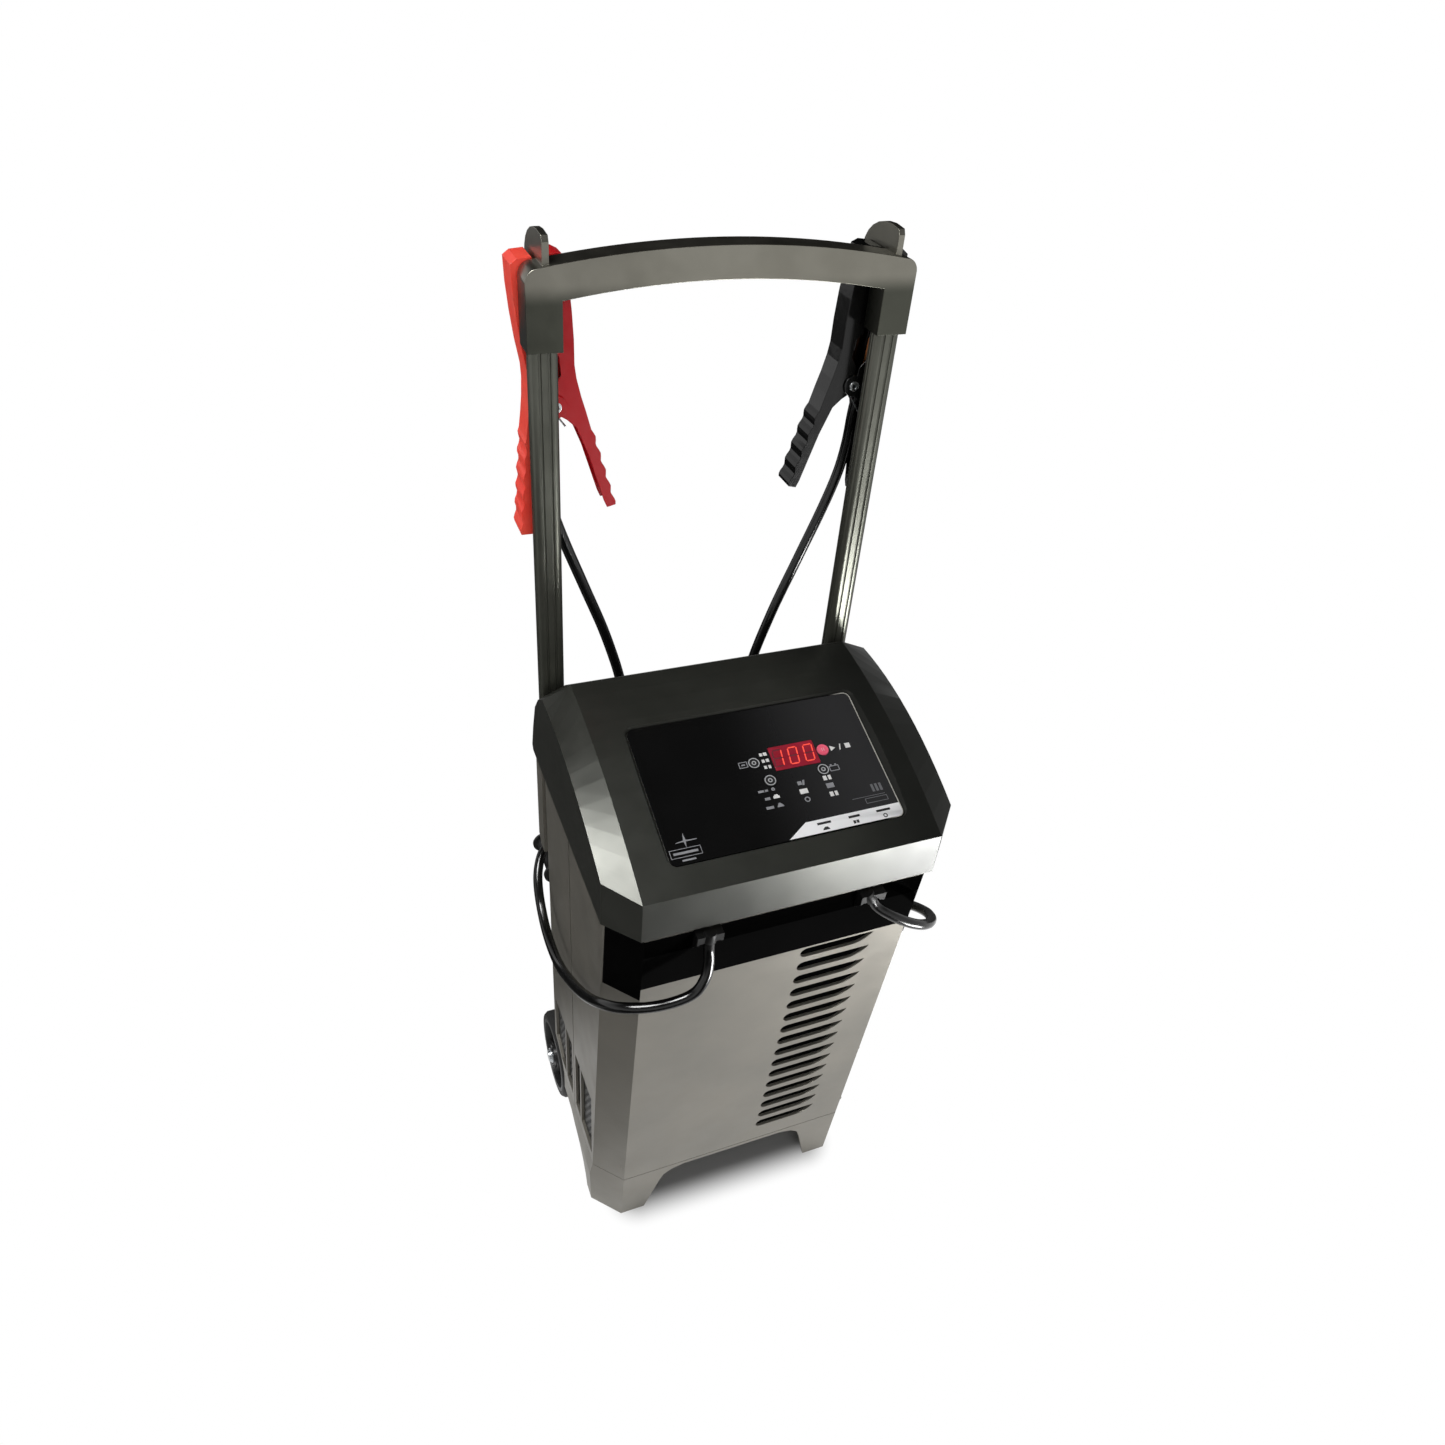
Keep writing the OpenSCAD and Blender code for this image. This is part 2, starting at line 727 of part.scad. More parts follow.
module head_screws() {
    color(steel) in_frame() both_sides() for (p = head_screw_at) translate([p.x, p.y, head_z - ledge.z]) {
        translate([0, 0, -2.6]) cylinder(h = 2.6, r = 3.8);
        cylinder(h = 20, r = 1.9);
    }
}

// ---------------------------------------------------------------- handle

module handle_grip() {
    x1 = tube_x + sleeve_w / 2;
    x0 = tube_x - sleeve_w / 2;
    corner = handle_z - grip_arch;
    color("#55554f") in_frame() difference() {
        union() {
            along_y(grip_front, grip_front + grip_d) {
                polygon(concat([[-x1, corner - grip_r]],
                    bow([-x1 + grip_r, corner], [x1 - grip_r, corner], grip_arch, 24),
                    [[x1, corner - grip_r], [x1, sleeve_z], [x0, sleeve_z]],
                    bow([x0, corner - grip_h], [-x0, corner - grip_h], grip_arch - 1.5, 24),
                    [[-x0, sleeve_z], [-x1, sleeve_z]]));
                for (s = [-1, 1]) translate([s * (x1 - grip_r), corner - grip_r]) circle(grip_r);
            }
            both_sides() along_x(hook_x - hook_t / 2, hook_x + hook_t / 2) polygon(hook_outline());
        }
        both_sides() translate([tube_x, tube_y, sleeve_z - 1])
            linear_extrude(tube_top - sleeve_z + 1.3) tube_outline(tube_fit);
    }
}

// Hook that a clamp bites on: a fin on the grip that reaches back behind it
function hook_outline() = let (y = grip_front + 4, z = handle_z - 22) concat(
    [[y, z], [y, z + 25], [y + 2, z + 29]],
    [for (a = [0:15:90]) [y + 14 + 38 * sin(a), z + 5 + 25 * cos(a)]],
    [[y + 50, z - 2], [y + 40, z - 5], [y + 18, z - 7]]);

module handle_tube(side) {
    color(tube_grey) in_frame() difference() {
        translate([side * tube_x, tube_y, tube_foot]) linear_extrude(tube_top - tube_foot)
            difference() {
                tube_outline(0);
                tube_core();
                for (x = [-3.4, 3.4]) translate([x, -tube_d / 2]) circle(1.1);
                translate([0, tube_d / 2]) circle(1.1);
                for (s = [-1, 1]) translate([s * tube_w / 2, 0]) circle(0.9);
            }
        rod_y(2.5, tube_y, socket_y, side * tube_x, grip_screw_z);
    }
}

// Hollow of the tube, drawn directly so that its walls stay true
module tube_core() {
    round_rect(tube_w - 4.4, tube_d - 4.4, 3);
}

module handle_tube_left() { handle_tube(-1); }
module handle_tube_right() { handle_tube(1); }

module handle_screws() {
    color(steel) in_frame() both_sides() {
        rod_y(2.4, tube_y + tube_d / 2 - 2.2, socket_y, tube_x, grip_screw_z);
        rod_y(4.6, socket_y, socket_y + 2.6, tube_x, grip_screw_z);
    }
}

// ---------------------------------------------------------------- lead glands and leads

// A hood under the lip, with a cheek at each side and a nozzle that the lead leaves by
module lead_gland(side, path) {
    back = unit(path[0] - path[1]);
    color(black) in_frame() difference() {
        union() {
            on_front() translate([side * 71, 0, gland_v]) {
                translate([-11, -9.5, 1]) cube([22, 9.4, 8]);
                translate([-10.8, -1, -6.8]) cube([21.6, 9, 11.6]);
                for (x = [-11, 9]) along_x(x, x + 2)
                    polygon([[-0.1, 9], [-9.5, 9], [-9.5, 0], [-2, -11.5], [-0.1, -11.5]]);
            }
            translate(path[0]) rotate([0, acos(back.z), atan2(back.y, back.x)])
                cylinder(h = 9, r = 5.2);
        }
        translate(path[0]) rotate([0, acos(back.z), atan2(back.y, back.x)])
            translate([0, 0, -20]) cylinder(h = 20, r = 5.6);
    }
}

module lead_gland_left() { lead_gland(-1, lead_path_left); }
module lead_gland_right() { lead_gland(1, lead_path_right); }
// Pegs on the back with a disc at the end, so that a lead can't slip off
module cord_peg(at) {
    rod_y(at[2] + 4, rear_y + 0.1, rear_y + 3, at.x, at.y);
    rod_y(at[2], rear_y + 0.1, peg_end, at.x, at.y);
    rod_y(at[2] + 4, peg_end - 2.5, peg_end, at.x, at.y);
}

module cord_pegs() {
    color(black) in_frame() both_sides() {
        cord_peg(outer_peg);
        cord_peg(inner_peg);
    }
}

module lead_left() {
    color(black) in_frame() sweep_tube(lead_path_left, lead_d / 2, lead_sides, [1, 0, 0]);
}

module lead_right() {
    color(black) in_frame() sweep_tube(lead_path_right, lead_d / 2, lead_sides, [0, 1, 0]);
}

// ---------------------------------------------------------------- clamps
// Each clamp is drawn with its pivot at the origin: +X towards the free lever, +Z up to the jaws.

// Puts a clamp on the handle; side -1 is the left
module place_clamp(side) {
    translate([side * pivot_x, clamp_y, pivot_z]) mirror([side > 0 ? 1 : 0, 0, 0])
        rotate([0, -clamp_tilt, 0]) children();
}

// Back of a lever, bottom to top, with finger waves on the grip
function lever_back(foot) = concat(
    [for (i = [0:24]) let (s = foot + (-20 - foot) * i / 24)
        [25.2 + (-20 - s) * 0.19 + 0.9 * sin((s - foot) * 360 / 14), s]],
    [[22.4, -8], [20, 4], [18, 18], [17.6, 28], [19.2, 46], [20, 66], [20, 86], [19, 103]]);

// Open side of a lever, top to bottom
function lever_mouth(foot) = [
    [14, 106], [4, 106], [3.3, 84], [1.8, 76], [1.2, 60], [1.5, 42], [6.7, 36], [6.7, 22], [1, 15], [1, -7],
    [7.2, -11.7], [13.6, -19], [20.4, -42], [29, foot + 5], [31, foot - 1]];

module lever_outline(foot) {
    polygon(concat(lever_back(foot), lever_mouth(foot)));
    circle(lug_r);
}

// Channel inside a lever: its back drawn in by the web, open towards the other lever
module channel_outline(foot) {
    polygon(concat([for (p = lever_back(foot)) [p.x - web_t, p.y < foot + 2 ? foot - 5 : p.y]],
        [[14, 104], [-30, 104], [-30, foot - 5]]));
}

module lever(w, foot) {
    difference() {
        along_y(-w / 2, w / 2) lever_outline(foot);
        along_y(-w / 2 + cheek_t, w / 2 - cheek_t) channel_outline(foot);
    }
}

module lead_lever(side, tint) {
    color(tint) in_frame() place_clamp(side) difference() {
        mirror([1, 0, 0]) lever(clamp_w, -97);
        rod_y(rivet_r, -20, 20, 0, 0);
    }
}

module free_lever(side, tint) {
    color(tint) in_frame() place_clamp(side) difference() {
        lever(free_w, -88);
        rod_y(rivet_r + bearing_gap, -20, 20, 0, 0);
    }
}

// Toothed plate inside a lever's jaw end
module jaw_plate(w) {
    along_y(-w / 2, w / 2) polygon([
        [17.4, 64], [17.4, 90], [16.4, 98], [14.4, 101], [8, 102.8], [1, 102.8], [0, 99.5],
        [3, 96.5], [0.5, 93],
        [3.5, 90], [1, 87], [4, 84.5], [5.5, 87], [6, 99], [8, 100.6], [12.8, 99.4], [14.4, 97],
        [15.6, 89], [15.6, 64]]);
}

module fin_space() {
    for (s = [-1, 1]) translate([s * hook_x, clamp_y, handle_z - 20])
        cube([hook_t + 2 * jaw_clear, 60, 60], center = true);
}

module lead_jaw(side) {
    color(copper) in_frame() difference() {
        union() {
            place_clamp(side) mirror([1, 0, 0]) jaw_plate(jaw_w);
            place_clamp(side) lead_crimp();
        }
        fin_space();
    }
}

// Crimped end that holds the lead, and the strap that joins it to the jaw plate
module lead_crimp() {
    translate([-12.5, 0, -11]) cylinder(h = 14, r = 5.4);
    translate([-15.3, -4, 2]) cube([2.2, 8, 61]);
    translate([-17.4, -4, 61]) cube([4.3, 8, 3]);
    translate([-17.4, -4, 61]) cube([1.9, 8, 6]);
}

module free_jaw(side) {
    color(copper) in_frame() difference() {
        place_clamp(side) jaw_plate(jaw_w - 2);
        fin_space();
    }
}

module clamp_rivet(side) {
    color(steel) in_frame() place_clamp(side) difference() {
        union() {
            rod_y(rivet_r, -clamp_w / 2 - 0.5, clamp_w / 2 + 0.5, 0, 0);
            rod_y(4, -clamp_w / 2 - 1.1, -clamp_w / 2, 0, 0);
            rod_y(4, clamp_w / 2, clamp_w / 2 + 1.1, 0, 0);
        }
        rod_y(1.9, -20, 20, 0, 0);
    }
}

// Torsion spring round the rivet: a leg, the coil and the other leg in one wire
spring_steps = 8;
spring_leg_lead = [-28.8, 0, -34.6];
spring_leg_free = [13.6, 0, -23.6];
spring_coil = [for (i = [0:coil_turns * spring_steps + 5]) let (a = -40 + i * 360 / spring_steps)
    [coil_r * cos(a), -0.6 * coil_pitch * coil_turns + coil_pitch * i / spring_steps,
     coil_r * sin(a)]];
spring_path = concat([spring_coil[0] + spring_leg_lead], spring_coil,
    [spring_coil[len(spring_coil) - 1] + spring_leg_free]);
spring_gap = coil_pitch - wire_d;
echo(least_gap_between_spring_turns = spring_gap);

module clamp_spring(side) {
    color(steel) in_frame() place_clamp(side)
        sweep_tube(spring_path, wire_d / 2, 6, [0, 1, 0]);
}

module red_clamp_lead_lever() { lead_lever(-1, "#c8281e"); }
module red_clamp_free_lever() { free_lever(-1, "#a81a1c"); }
module red_clamp_lead_jaw() { lead_jaw(-1); }
module red_clamp_free_jaw() { free_jaw(-1); }
module red_clamp_rivet() { clamp_rivet(-1); }
module red_clamp_spring() { clamp_spring(-1); }
module black_clamp_lead_lever() { lead_lever(1, black); }
module black_clamp_free_lever() { free_lever(1, black); }
module black_clamp_lead_jaw() { lead_jaw(1); }
module black_clamp_free_jaw() { free_jaw(1); }
module black_clamp_rivet() { clamp_rivet(1); }
module black_clamp_spring() { clamp_spring(1); }

// ---------------------------------------------------------------- wheels

module axle() {
    color(steel) in_frame() rod_x(axle_d / 2, -wheel_out - 3, wheel_out + 3, axle_y, axle_z);
}

module axle_spacers() {
    color(steel) in_frame() both_sides() difference() {
        rod_x(9, axle_block + 0.1, wheel_in - 0.4, axle_y, axle_z);
        rod_x(axle_d / 2, 0, 200, axle_y, axle_z);
    }
}

module axle_caps() {
    color(steel) in_frame() both_sides() difference() {
        union() {
            rod_x(8.5, wheel_out + 0.4, wheel_out + 3, axle_y, axle_z);
            rod_x(6.8, wheel_out + 2, wheel_out + 5.5, axle_y, axle_z);
        }
        rod_x(axle_d / 2, 0, wheel_out + 3, axle_y, axle_z);
    }
}

module wheel(side) {
    rim_r = wheel_d / 2 - tyre_t;
    mid = wheel_out - wheel_w / 2;
    color("#1c1c1c") in_frame() mirror([side < 0 ? 1 : 0, 0, 0]) difference() {
        union() {
            difference() {
                rod_x(rim_r, wheel_in, wheel_out, axle_y, axle_z);
                rod_x(rim_r - 3.5, wheel_in - 1, wheel_out + 1, axle_y, axle_z);
            }
            rod_x(rim_r - 1, mid - 2.5, mid + 2.5, axle_y, axle_z);
            rod_x(11, wheel_in, wheel_out, axle_y, axle_z);
            for (a = [0:60:300]) translate([0, axle_y, axle_z]) rotate([a, 0, 0])
                translate([mid - 8, -2, 5]) cube([16, 4, rim_r - 7]);
        }
        rod_x(axle_d / 2 + bearing_gap, 0, 200, axle_y, axle_z);
        for (a = [30:60:330]) translate([0, axle_y, axle_z]) rotate([a, 0, 0])
            rod_x(6.5, mid - 5, mid + 5, 0, 23);
    }
}

module tyre(side) {
    rim_r = wheel_d / 2 - tyre_t;
    color("#101010") in_frame() mirror([side < 0 ? 1 : 0, 0, 0]) translate([wheel_in, axle_y, axle_z])
        rotate([0, 90, 0]) rotate_extrude($fn = 96) polygon([
            [rim_r, 0], [rim_r + tyre_t - 3, 0], [rim_r + tyre_t, 4], [rim_r + tyre_t, wheel_w - 4],
            [rim_r + tyre_t - 3, wheel_w], [rim_r, wheel_w]]);
}

module wheel_left() { wheel(-1); }
module wheel_right() { wheel(1); }
module tyre_left() { tyre(-1); }
module tyre_right() { tyre(1); }

// ---------------------------------------------------------------- inside

core_size = [110, 62, 92];
core_at = [-28, 0, seam_z + 6];
fan_z = 330;
fan_size = 80;
inlet_x = 88;
inlet_z = 150;

module transformer_core() {
    color("#6b6b6b") in_frame() translate(core_at) difference() {
        translate([-core_size.x / 2, -core_size.y / 2, 0]) cube(core_size);
        for (s = [-1, 1]) translate([s * 27 - 9, -50, 18]) cube([18, 100, 56]);
    }
}

module transformer_windings() {
    color("#a8622c") in_frame() translate(core_at) difference() {
        translate([-35.5, -core_size.y / 2 - 14, 18.4]) cube([71, core_size.y + 28, 55.2]);
        translate([-18, -core_size.y / 2 - 0.3, 0]) cube([36, core_size.y + 0.6, 100]);
    }
}

module transformer_clamp() {
    color(steel) in_frame() translate(core_at) difference() {
        translate([-core_size.x / 2 - 12, -core_size.y / 2 + 4, -5.9])
            cube([core_size.x + 24, core_size.y - 8, 5.8]);
        for (x = [-1, 1], y = [-1, 1])
            translate([x * (core_size.x / 2 + 7), y * 20, -10]) cylinder(h = 20, r = 2.6);
    }
}

module rectifier_heatsink() {
    color("#a9abad") in_frame() translate([62, -35, seam_z + 0.2]) {
        cube([6, 80, 96]);
        for (i = [0:8]) translate([5.5, i * 9.6, 0]) cube([cabinet_w / 2 - 118.5, 2.8, 96]);
    }
}

module rectifier_diodes() {
    color(copper) in_frame() for (z = [30, 66], y = [-12, 24]) translate([61.9, y, seam_z + z])
        rotate([0, -90, 0]) {
            cylinder(h = 7, r = 8, $fn = 6);
            cylinder(h = 15, r = 5.5);
        }
}

module circuit_breaker() {
    color(black) in_frame() translate([62.5, -25, seam_z + 96.4]) {
        cube([28, 50, 16]);
        translate([8, 10, 15.9]) cube([12, 30, 6]);
    }
}

module fan_frame() {
    y0 = rear_y - wall - 25.2;
    color(black) in_frame() difference() {
        union() {
            difference() {
                translate([-fan_size / 2, y0, fan_z - fan_size / 2]) cube([fan_size, 25, fan_size]);
                rod_y(fan_size / 2 - 2, y0 - 1, y0 + 26, 0, fan_z);
            }
            intersection() {
                union() {
                    for (a = [0, 60, 120]) translate([0, 0, fan_z]) rotate([0, a, 0])
                        translate([-fan_size / 2, y0, -2]) cube([fan_size, 2.5, 4]);
                    rod_y(13, y0, y0 + 2.5, 0, fan_z);
                }
                rod_y(fan_size / 2 - 0.5, y0 - 1, y0 + 26, 0, fan_z);
            }
            rod_y(2, y0, y0 + 20, 0, fan_z);
        }
        for (x = [-1, 1], z = [-1, 1])
            rod_y(2.1, y0 - 1, y0 + 26, x * (fan_size / 2 - 5), fan_z + z * (fan_size / 2 - 5));
    }
}

module fan_rotor() {
    y0 = rear_y - wall - 21.7;
    color("#2b2b2b") in_frame() difference() {
        union() {
            rod_y(13, y0, y0 + 19, 0, fan_z);
            for (a = [0:360 / 7:359]) translate([0, y0 + 9.5, fan_z]) rotate([0, a, 0])
                rotate([0, 0, 0]) translate([0, 0, 11]) rotate([0, 0, 38])
                    translate([-9, -0.8, 0]) cube([18, 1.6, 22.5]);
        }
        rod_y(2 + bearing_gap, y0 - 1, y0 + 17.5, 0, fan_z);
    }
}

// Bushing that the mains cord passes through
module mains_inlet() {
    color(black) in_frame() difference() {
        union() {
            rod_y(8.9, rear_y - wall - 1.4, rear_y + 1, inlet_x, inlet_z);
            rod_y(12, rear_y + 0.1, rear_y + 4, inlet_x, inlet_z);
            rod_y(11.5, rear_y - wall - 5, rear_y - wall - 0.1, inlet_x, inlet_z);
        }
        rod_y(4.5, rear_y - 20, rear_y + 20, inlet_x, inlet_z);
    }
}

base();
front_shell();
rear_shell();
handle_sockets();
head_cover();
front_band();
louvre_insert();
vent_screens_front();
vent_screens_rear();
control_panel();
info_strip();
display_window();
start_stop_button();
mode_button();
rate_button();
type_button();
display_module();
control_board();
tact_switches();
head_screws();
housing_screws();
handle_grip();
handle_tube_left();
handle_tube_right();
handle_screws();
lead_gland_left();
lead_gland_right();
cord_pegs();
lead_left();
lead_right();
red_clamp_lead_lever();
red_clamp_free_lever();
red_clamp_lead_jaw();
red_clamp_free_jaw();
red_clamp_rivet();
red_clamp_spring();
black_clamp_lead_lever();
black_clamp_free_lever();
black_clamp_lead_jaw();
black_clamp_free_jaw();
black_clamp_rivet();
black_clamp_spring();
axle();
axle_spacers();
axle_caps();
wheel_left();
wheel_right();
tyre_left();
tyre_right();
transformer_core();
transformer_windings();
transformer_clamp();
rectifier_heatsink();
rectifier_diodes();
circuit_breaker();
fan_frame();
fan_rotor();
mains_inlet();
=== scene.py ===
"""Wheeled battery charger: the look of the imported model, in metres, in the same frame."""

import math

import bmesh
import bpy
from mathutils import Matrix, Vector


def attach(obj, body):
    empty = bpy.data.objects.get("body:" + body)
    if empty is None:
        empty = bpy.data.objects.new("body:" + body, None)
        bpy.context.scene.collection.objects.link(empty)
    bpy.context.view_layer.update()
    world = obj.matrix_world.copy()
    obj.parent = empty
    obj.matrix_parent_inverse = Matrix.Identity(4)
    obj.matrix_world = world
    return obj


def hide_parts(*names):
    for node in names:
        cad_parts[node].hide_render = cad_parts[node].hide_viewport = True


MM = 0.001

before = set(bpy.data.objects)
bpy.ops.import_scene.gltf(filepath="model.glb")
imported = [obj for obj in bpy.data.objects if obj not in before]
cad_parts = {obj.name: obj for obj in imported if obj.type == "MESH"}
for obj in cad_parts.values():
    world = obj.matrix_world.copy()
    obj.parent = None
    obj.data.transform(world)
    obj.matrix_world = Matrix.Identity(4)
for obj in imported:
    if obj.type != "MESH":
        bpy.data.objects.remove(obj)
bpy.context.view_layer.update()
scene = bpy.context.scene

# ---------------------------------------------------------------- camera

CAMERA_AT = Vector((-0.3062, -0.6357, 1.1109))
CAMERA_YAW = math.radians(24.6)
CAMERA_PITCH = math.radians(37.6)
CAMERA_ROLL = math.radians(5.4)
CAMERA_LENS = 26.65


def add_camera():
    """The camera stands to the left of the front and looks down on the charger."""
    cy, sy = math.cos(CAMERA_YAW), math.sin(CAMERA_YAW)
    cp, sp = math.cos(CAMERA_PITCH), math.sin(CAMERA_PITCH)
    ahead = Vector((sy * cp, cy * cp, -sp))
    right = Vector((cy, -sy, 0.0))
    up = right.cross(ahead)
    cr, sr = math.cos(CAMERA_ROLL), math.sin(CAMERA_ROLL)
    right, up = right * cr + up * sr, up * cr - right * sr
    camera = bpy.data.objects.new("camera", bpy.data.cameras.new("camera"))
    camera.data.lens = CAMERA_LENS
    camera.data.sensor_width = 36.0
    camera.data.sensor_fit = "HORIZONTAL"
    camera.data.clip_start = 0.01
    camera.data.clip_end = 100.0
    turn = Matrix((right, up, -ahead)).transposed().to_4x4()
    camera.matrix_world = Matrix.Translation(CAMERA_AT) @ turn
    scene.collection.objects.link(camera)
    scene.camera = camera


add_camera()

# ---------------------------------------------------------------- leads

# Points in millimetres as the CAD draws them, before it brings the drawing forward.
FRAME_Y = 14.0
LEAD_D = 9.0
LEAD_FRONT_LEFT = [
    (-71, -122.2, 473), (-71, -122.6, 463), (-71.5, -126, 452), (-75, -130, 439),
    (-83, -132, 427), (-98, -131, 420), (-119, -127, 416), (-139, -117, 411),
    (-151, -98, 398), (-156, -68, 374),
]
LEAD_FRONT_RIGHT = [
    (71, -122.2, 473), (75, -124, 466.5), (83, -128.5, 460.5), (94, -132.5, 453.5),
    (107, -134.5, 445.5), (120.5, -132.5, 437), (133.5, -125.5, 427.5), (145, -113, 416.5),
    (153, -94, 402), (157.3, -66, 380),
]
LEAD_REST = [
    (-158, -32, 349), (-159, 10, 325), (-159, 50, 318), (-158, 80, 326), (-156, 100, 342),
    (-151, 114, 352), (-143, 126, 358), (-132, 135, 358), (-121, 140, 350), (-115, 142, 334),
    (-113, 143, 300), (-112, 143, 220), (-110, 143, 150), (-105, 142, 104), (-92, 142, 76),
    (-71, 142, 66), (-50, 142, 76), (-38, 142, 104), (-34, 142, 150), (-36, 141, 240),
    (-42, 140, 340), (-51, 138, 436), (-63, 136, 530), (-79, 135, 590), (-99, 135, 645),
    (-117, 135, 694), (-127, 135, 727), (-131, 135, 753), (-132.2, 135, 778),
    (-133.8, 135, 793.7),
]


def add_lead(name, points, node):
    """A round lead on one smooth curve through its points."""
    curve = bpy.data.curves.new(name, "CURVE")
    curve.dimensions = "3D"
    curve.resolution_u = 6
    curve.bevel_depth = 1.0
    curve.bevel_resolution = 5
    curve.use_fill_caps = True
    spline = curve.splines.new("BEZIER")
    spline.bezier_points.add(len(points) - 1)
    places = [Vector((x, y - FRAME_Y, z)) * MM for x, y, z in points]
    for i, point in enumerate(spline.bezier_points):
        before, here, after = places[max(i - 1, 0)], places[i], places[min(i + 1, len(places) - 1)]
        run = (after - before).normalized()
        point.co = here
        point.radius = LEAD_D / 2 * MM
        point.handle_left = here - run * (here - before).length / 3
        point.handle_right = here + run * (after - here).length / 3
    lead = bpy.data.objects.new(name, curve)
    scene.collection.objects.link(lead)
    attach(lead, "charger")
    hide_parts(node)
    return lead


leads = [
    add_lead("lead_left_curve", LEAD_FRONT_LEFT + LEAD_REST, "lead_left"),
    add_lead("lead_right_curve", LEAD_FRONT_RIGHT + [(-x, y, z) for x, y, z in LEAD_REST],
             "lead_right"),
]

# ---------------------------------------------------------------- finishes


def shade(text):
    """An sRGB hex colour as linear RGBA."""
    parts = [int(text[i:i + 2], 16) / 255 for i in (1, 3, 5)]
    return [c / 12.92 if c <= 0.04045 else ((c + 0.055) / 1.055) ** 2.4 for c in parts] + [1.0]


def node(tree, kind, inputs=None, **settings):
    """Adds a node: settings are its own, and an input is a value or another node's output."""
    made = tree.nodes.new(kind)
    for name, value in settings.items():
        setattr(made, name, value)
    for name, value in (inputs or {}).items():
        if isinstance(value, bpy.types.NodeSocket):
            tree.links.new(value, made.inputs[name])
        else:
            made.inputs[name].default_value = value
    return made


def per_metre(size_mm):
    """The noise scale that gives features of a size in millimetres."""
    return 1000.0 / size_mm


def finish(name, dark, light, rough, patch=60, grain=1.4, depth=0.02, stretch=(1, 1, 1),
           **shader_inputs):
    """A surface of two close colours in soft patches, with uneven gloss and a fine grain.

    patch and grain are sizes in millimetres, depth is the grain's height, and stretch
    draws the grain out into lines along the axes with a small number."""
    material = bpy.data.materials.new(name)
    material.use_nodes = True
    tree = material.node_tree
    shader = tree.nodes["Principled BSDF"]
    place = node(tree, "ShaderNodeTexCoord").outputs["Object"]
    cloud = node(tree, "ShaderNodeTexNoise", {"Vector": place, "Scale": per_metre(patch),
                                             "Detail": 3.0, "Roughness": 0.55})
    spread = node(tree, "ShaderNodeMapRange", {"Value": cloud.outputs["Fac"], "From Min": 0.35,
                                              "From Max": 0.65})
    tint = node(tree, "ShaderNodeMix", {"Factor": spread.outputs["Result"], "A": shade(dark),
                                       "B": shade(light)}, data_type="RGBA")
    gloss = node(tree, "ShaderNodeTexNoise", {"Vector": place, "Scale": per_metre(patch / 3),
                                             "Detail": 4.0})
    dull = node(tree, "ShaderNodeMapRange", {"Value": gloss.outputs["Fac"], "From Min": 0.3,
                                            "From Max": 0.7, "To Min": rough[0],
                                            "To Max": rough[1]})
    drawn = node(tree, "ShaderNodeMapping", {"Vector": place, "Scale": stretch})
    pits = node(tree, "ShaderNodeTexNoise", {"Vector": drawn.outputs["Vector"],
                                            "Scale": per_metre(grain), "Detail": 2.0})
    bump = node(tree, "ShaderNodeBump", {"Height": pits.outputs["Fac"], "Strength": 1.0,
                                        "Distance": depth * MM})
    tree.links.new(tint.outputs["Result"], shader.inputs["Base Color"])
    tree.links.new(dull.outputs["Result"], shader.inputs["Roughness"])
    tree.links.new(bump.outputs["Normal"], shader.inputs["Normal"])
    for key, value in shader_inputs.items():
        shader.inputs[key.replace("_", " ")].default_value = value
    return material


def blend_along(material, axis, colour, start, end):
    """Lets a finish go over to another colour along an axis, between two places in metres."""
    tree = material.node_tree
    shader = tree.nodes["Principled BSDF"]
    first = shader.inputs["Base Color"].links[0].from_socket
    place = node(tree, "ShaderNodeTexCoord").outputs["Object"]
    along = node(tree, "ShaderNodeSeparateXYZ", {"Vector": place}).outputs[axis]
    share = node(tree, "ShaderNodeMapRange", {"Value": along, "From Min": start,
                                             "From Max": end}, interpolation_type="SMOOTHSTEP")
    blend = node(tree, "ShaderNodeMix", {"Factor": share.outputs["Result"], "A": first,
                                        "B": shade(colour)}, data_type="RGBA")
    tree.links.new(blend.outputs["Result"], shader.inputs["Base Color"])


# ABS filled with metal flake, injection moulded with a satin skin: a warm pewter grey that
# goes light or dark with what stands round it.
cabinet_abs = finish("abs_metal_flake_pewter", "#7e7b73", "#868279", (0.36, 0.44), patch=90,
                     grain=1.6, depth=0.01, Metallic=0.55, IOR=1.5)
# The same plastic in charcoal: the head cover, with painted shade darkening it towards the right.
head_abs = finish("abs_metal_flake_charcoal", "#383934", "#3e3f3a", (0.3, 0.36), patch=70,
                  grain=1.4, depth=0.01, Metallic=0.5, IOR=1.5)
blend_along(head_abs, "X", "#252623", 0.02, 0.12)
# Glass-filled nylon with the same flake: the grip, with painted shade darkening the sleeves below
# the crossbar.
grip_nylon = finish("nylon_metal_flake_grip", "#75736a", "#7d7b72", (0.28, 0.34), patch=50,
                    grain=2.4, depth=0.003, Metallic=0.95, IOR=1.53)
blend_along(grip_nylon, "Z", "#45463f", 0.9, 0.885)
# Acrylic sheet printed black on its back: deep black under a clear polish, with a painted
# reflection lightening it towards the right.
panel_acrylic = finish("acrylic_back_printed_black", "#080808", "#0b0b0b", (0.1, 0.16),
                       patch=80, grain=8, depth=0.002, IOR=1.49)
blend_along(panel_acrylic, "X", "#303031", -0.03, 0.09)
# The same acrylic at its polished edge: black, with a painted highlight that turns it pale on the
# right.
panel_edge = finish("acrylic_polished_edge_painted_highlight", "#0a0a0a", "#0e0e0e", (0.1, 0.16), patch=40, grain=4,
                    depth=0.002, IOR=1.49)
blend_along(panel_edge, "X", "#b9b8b0", 0.085, 0.1)
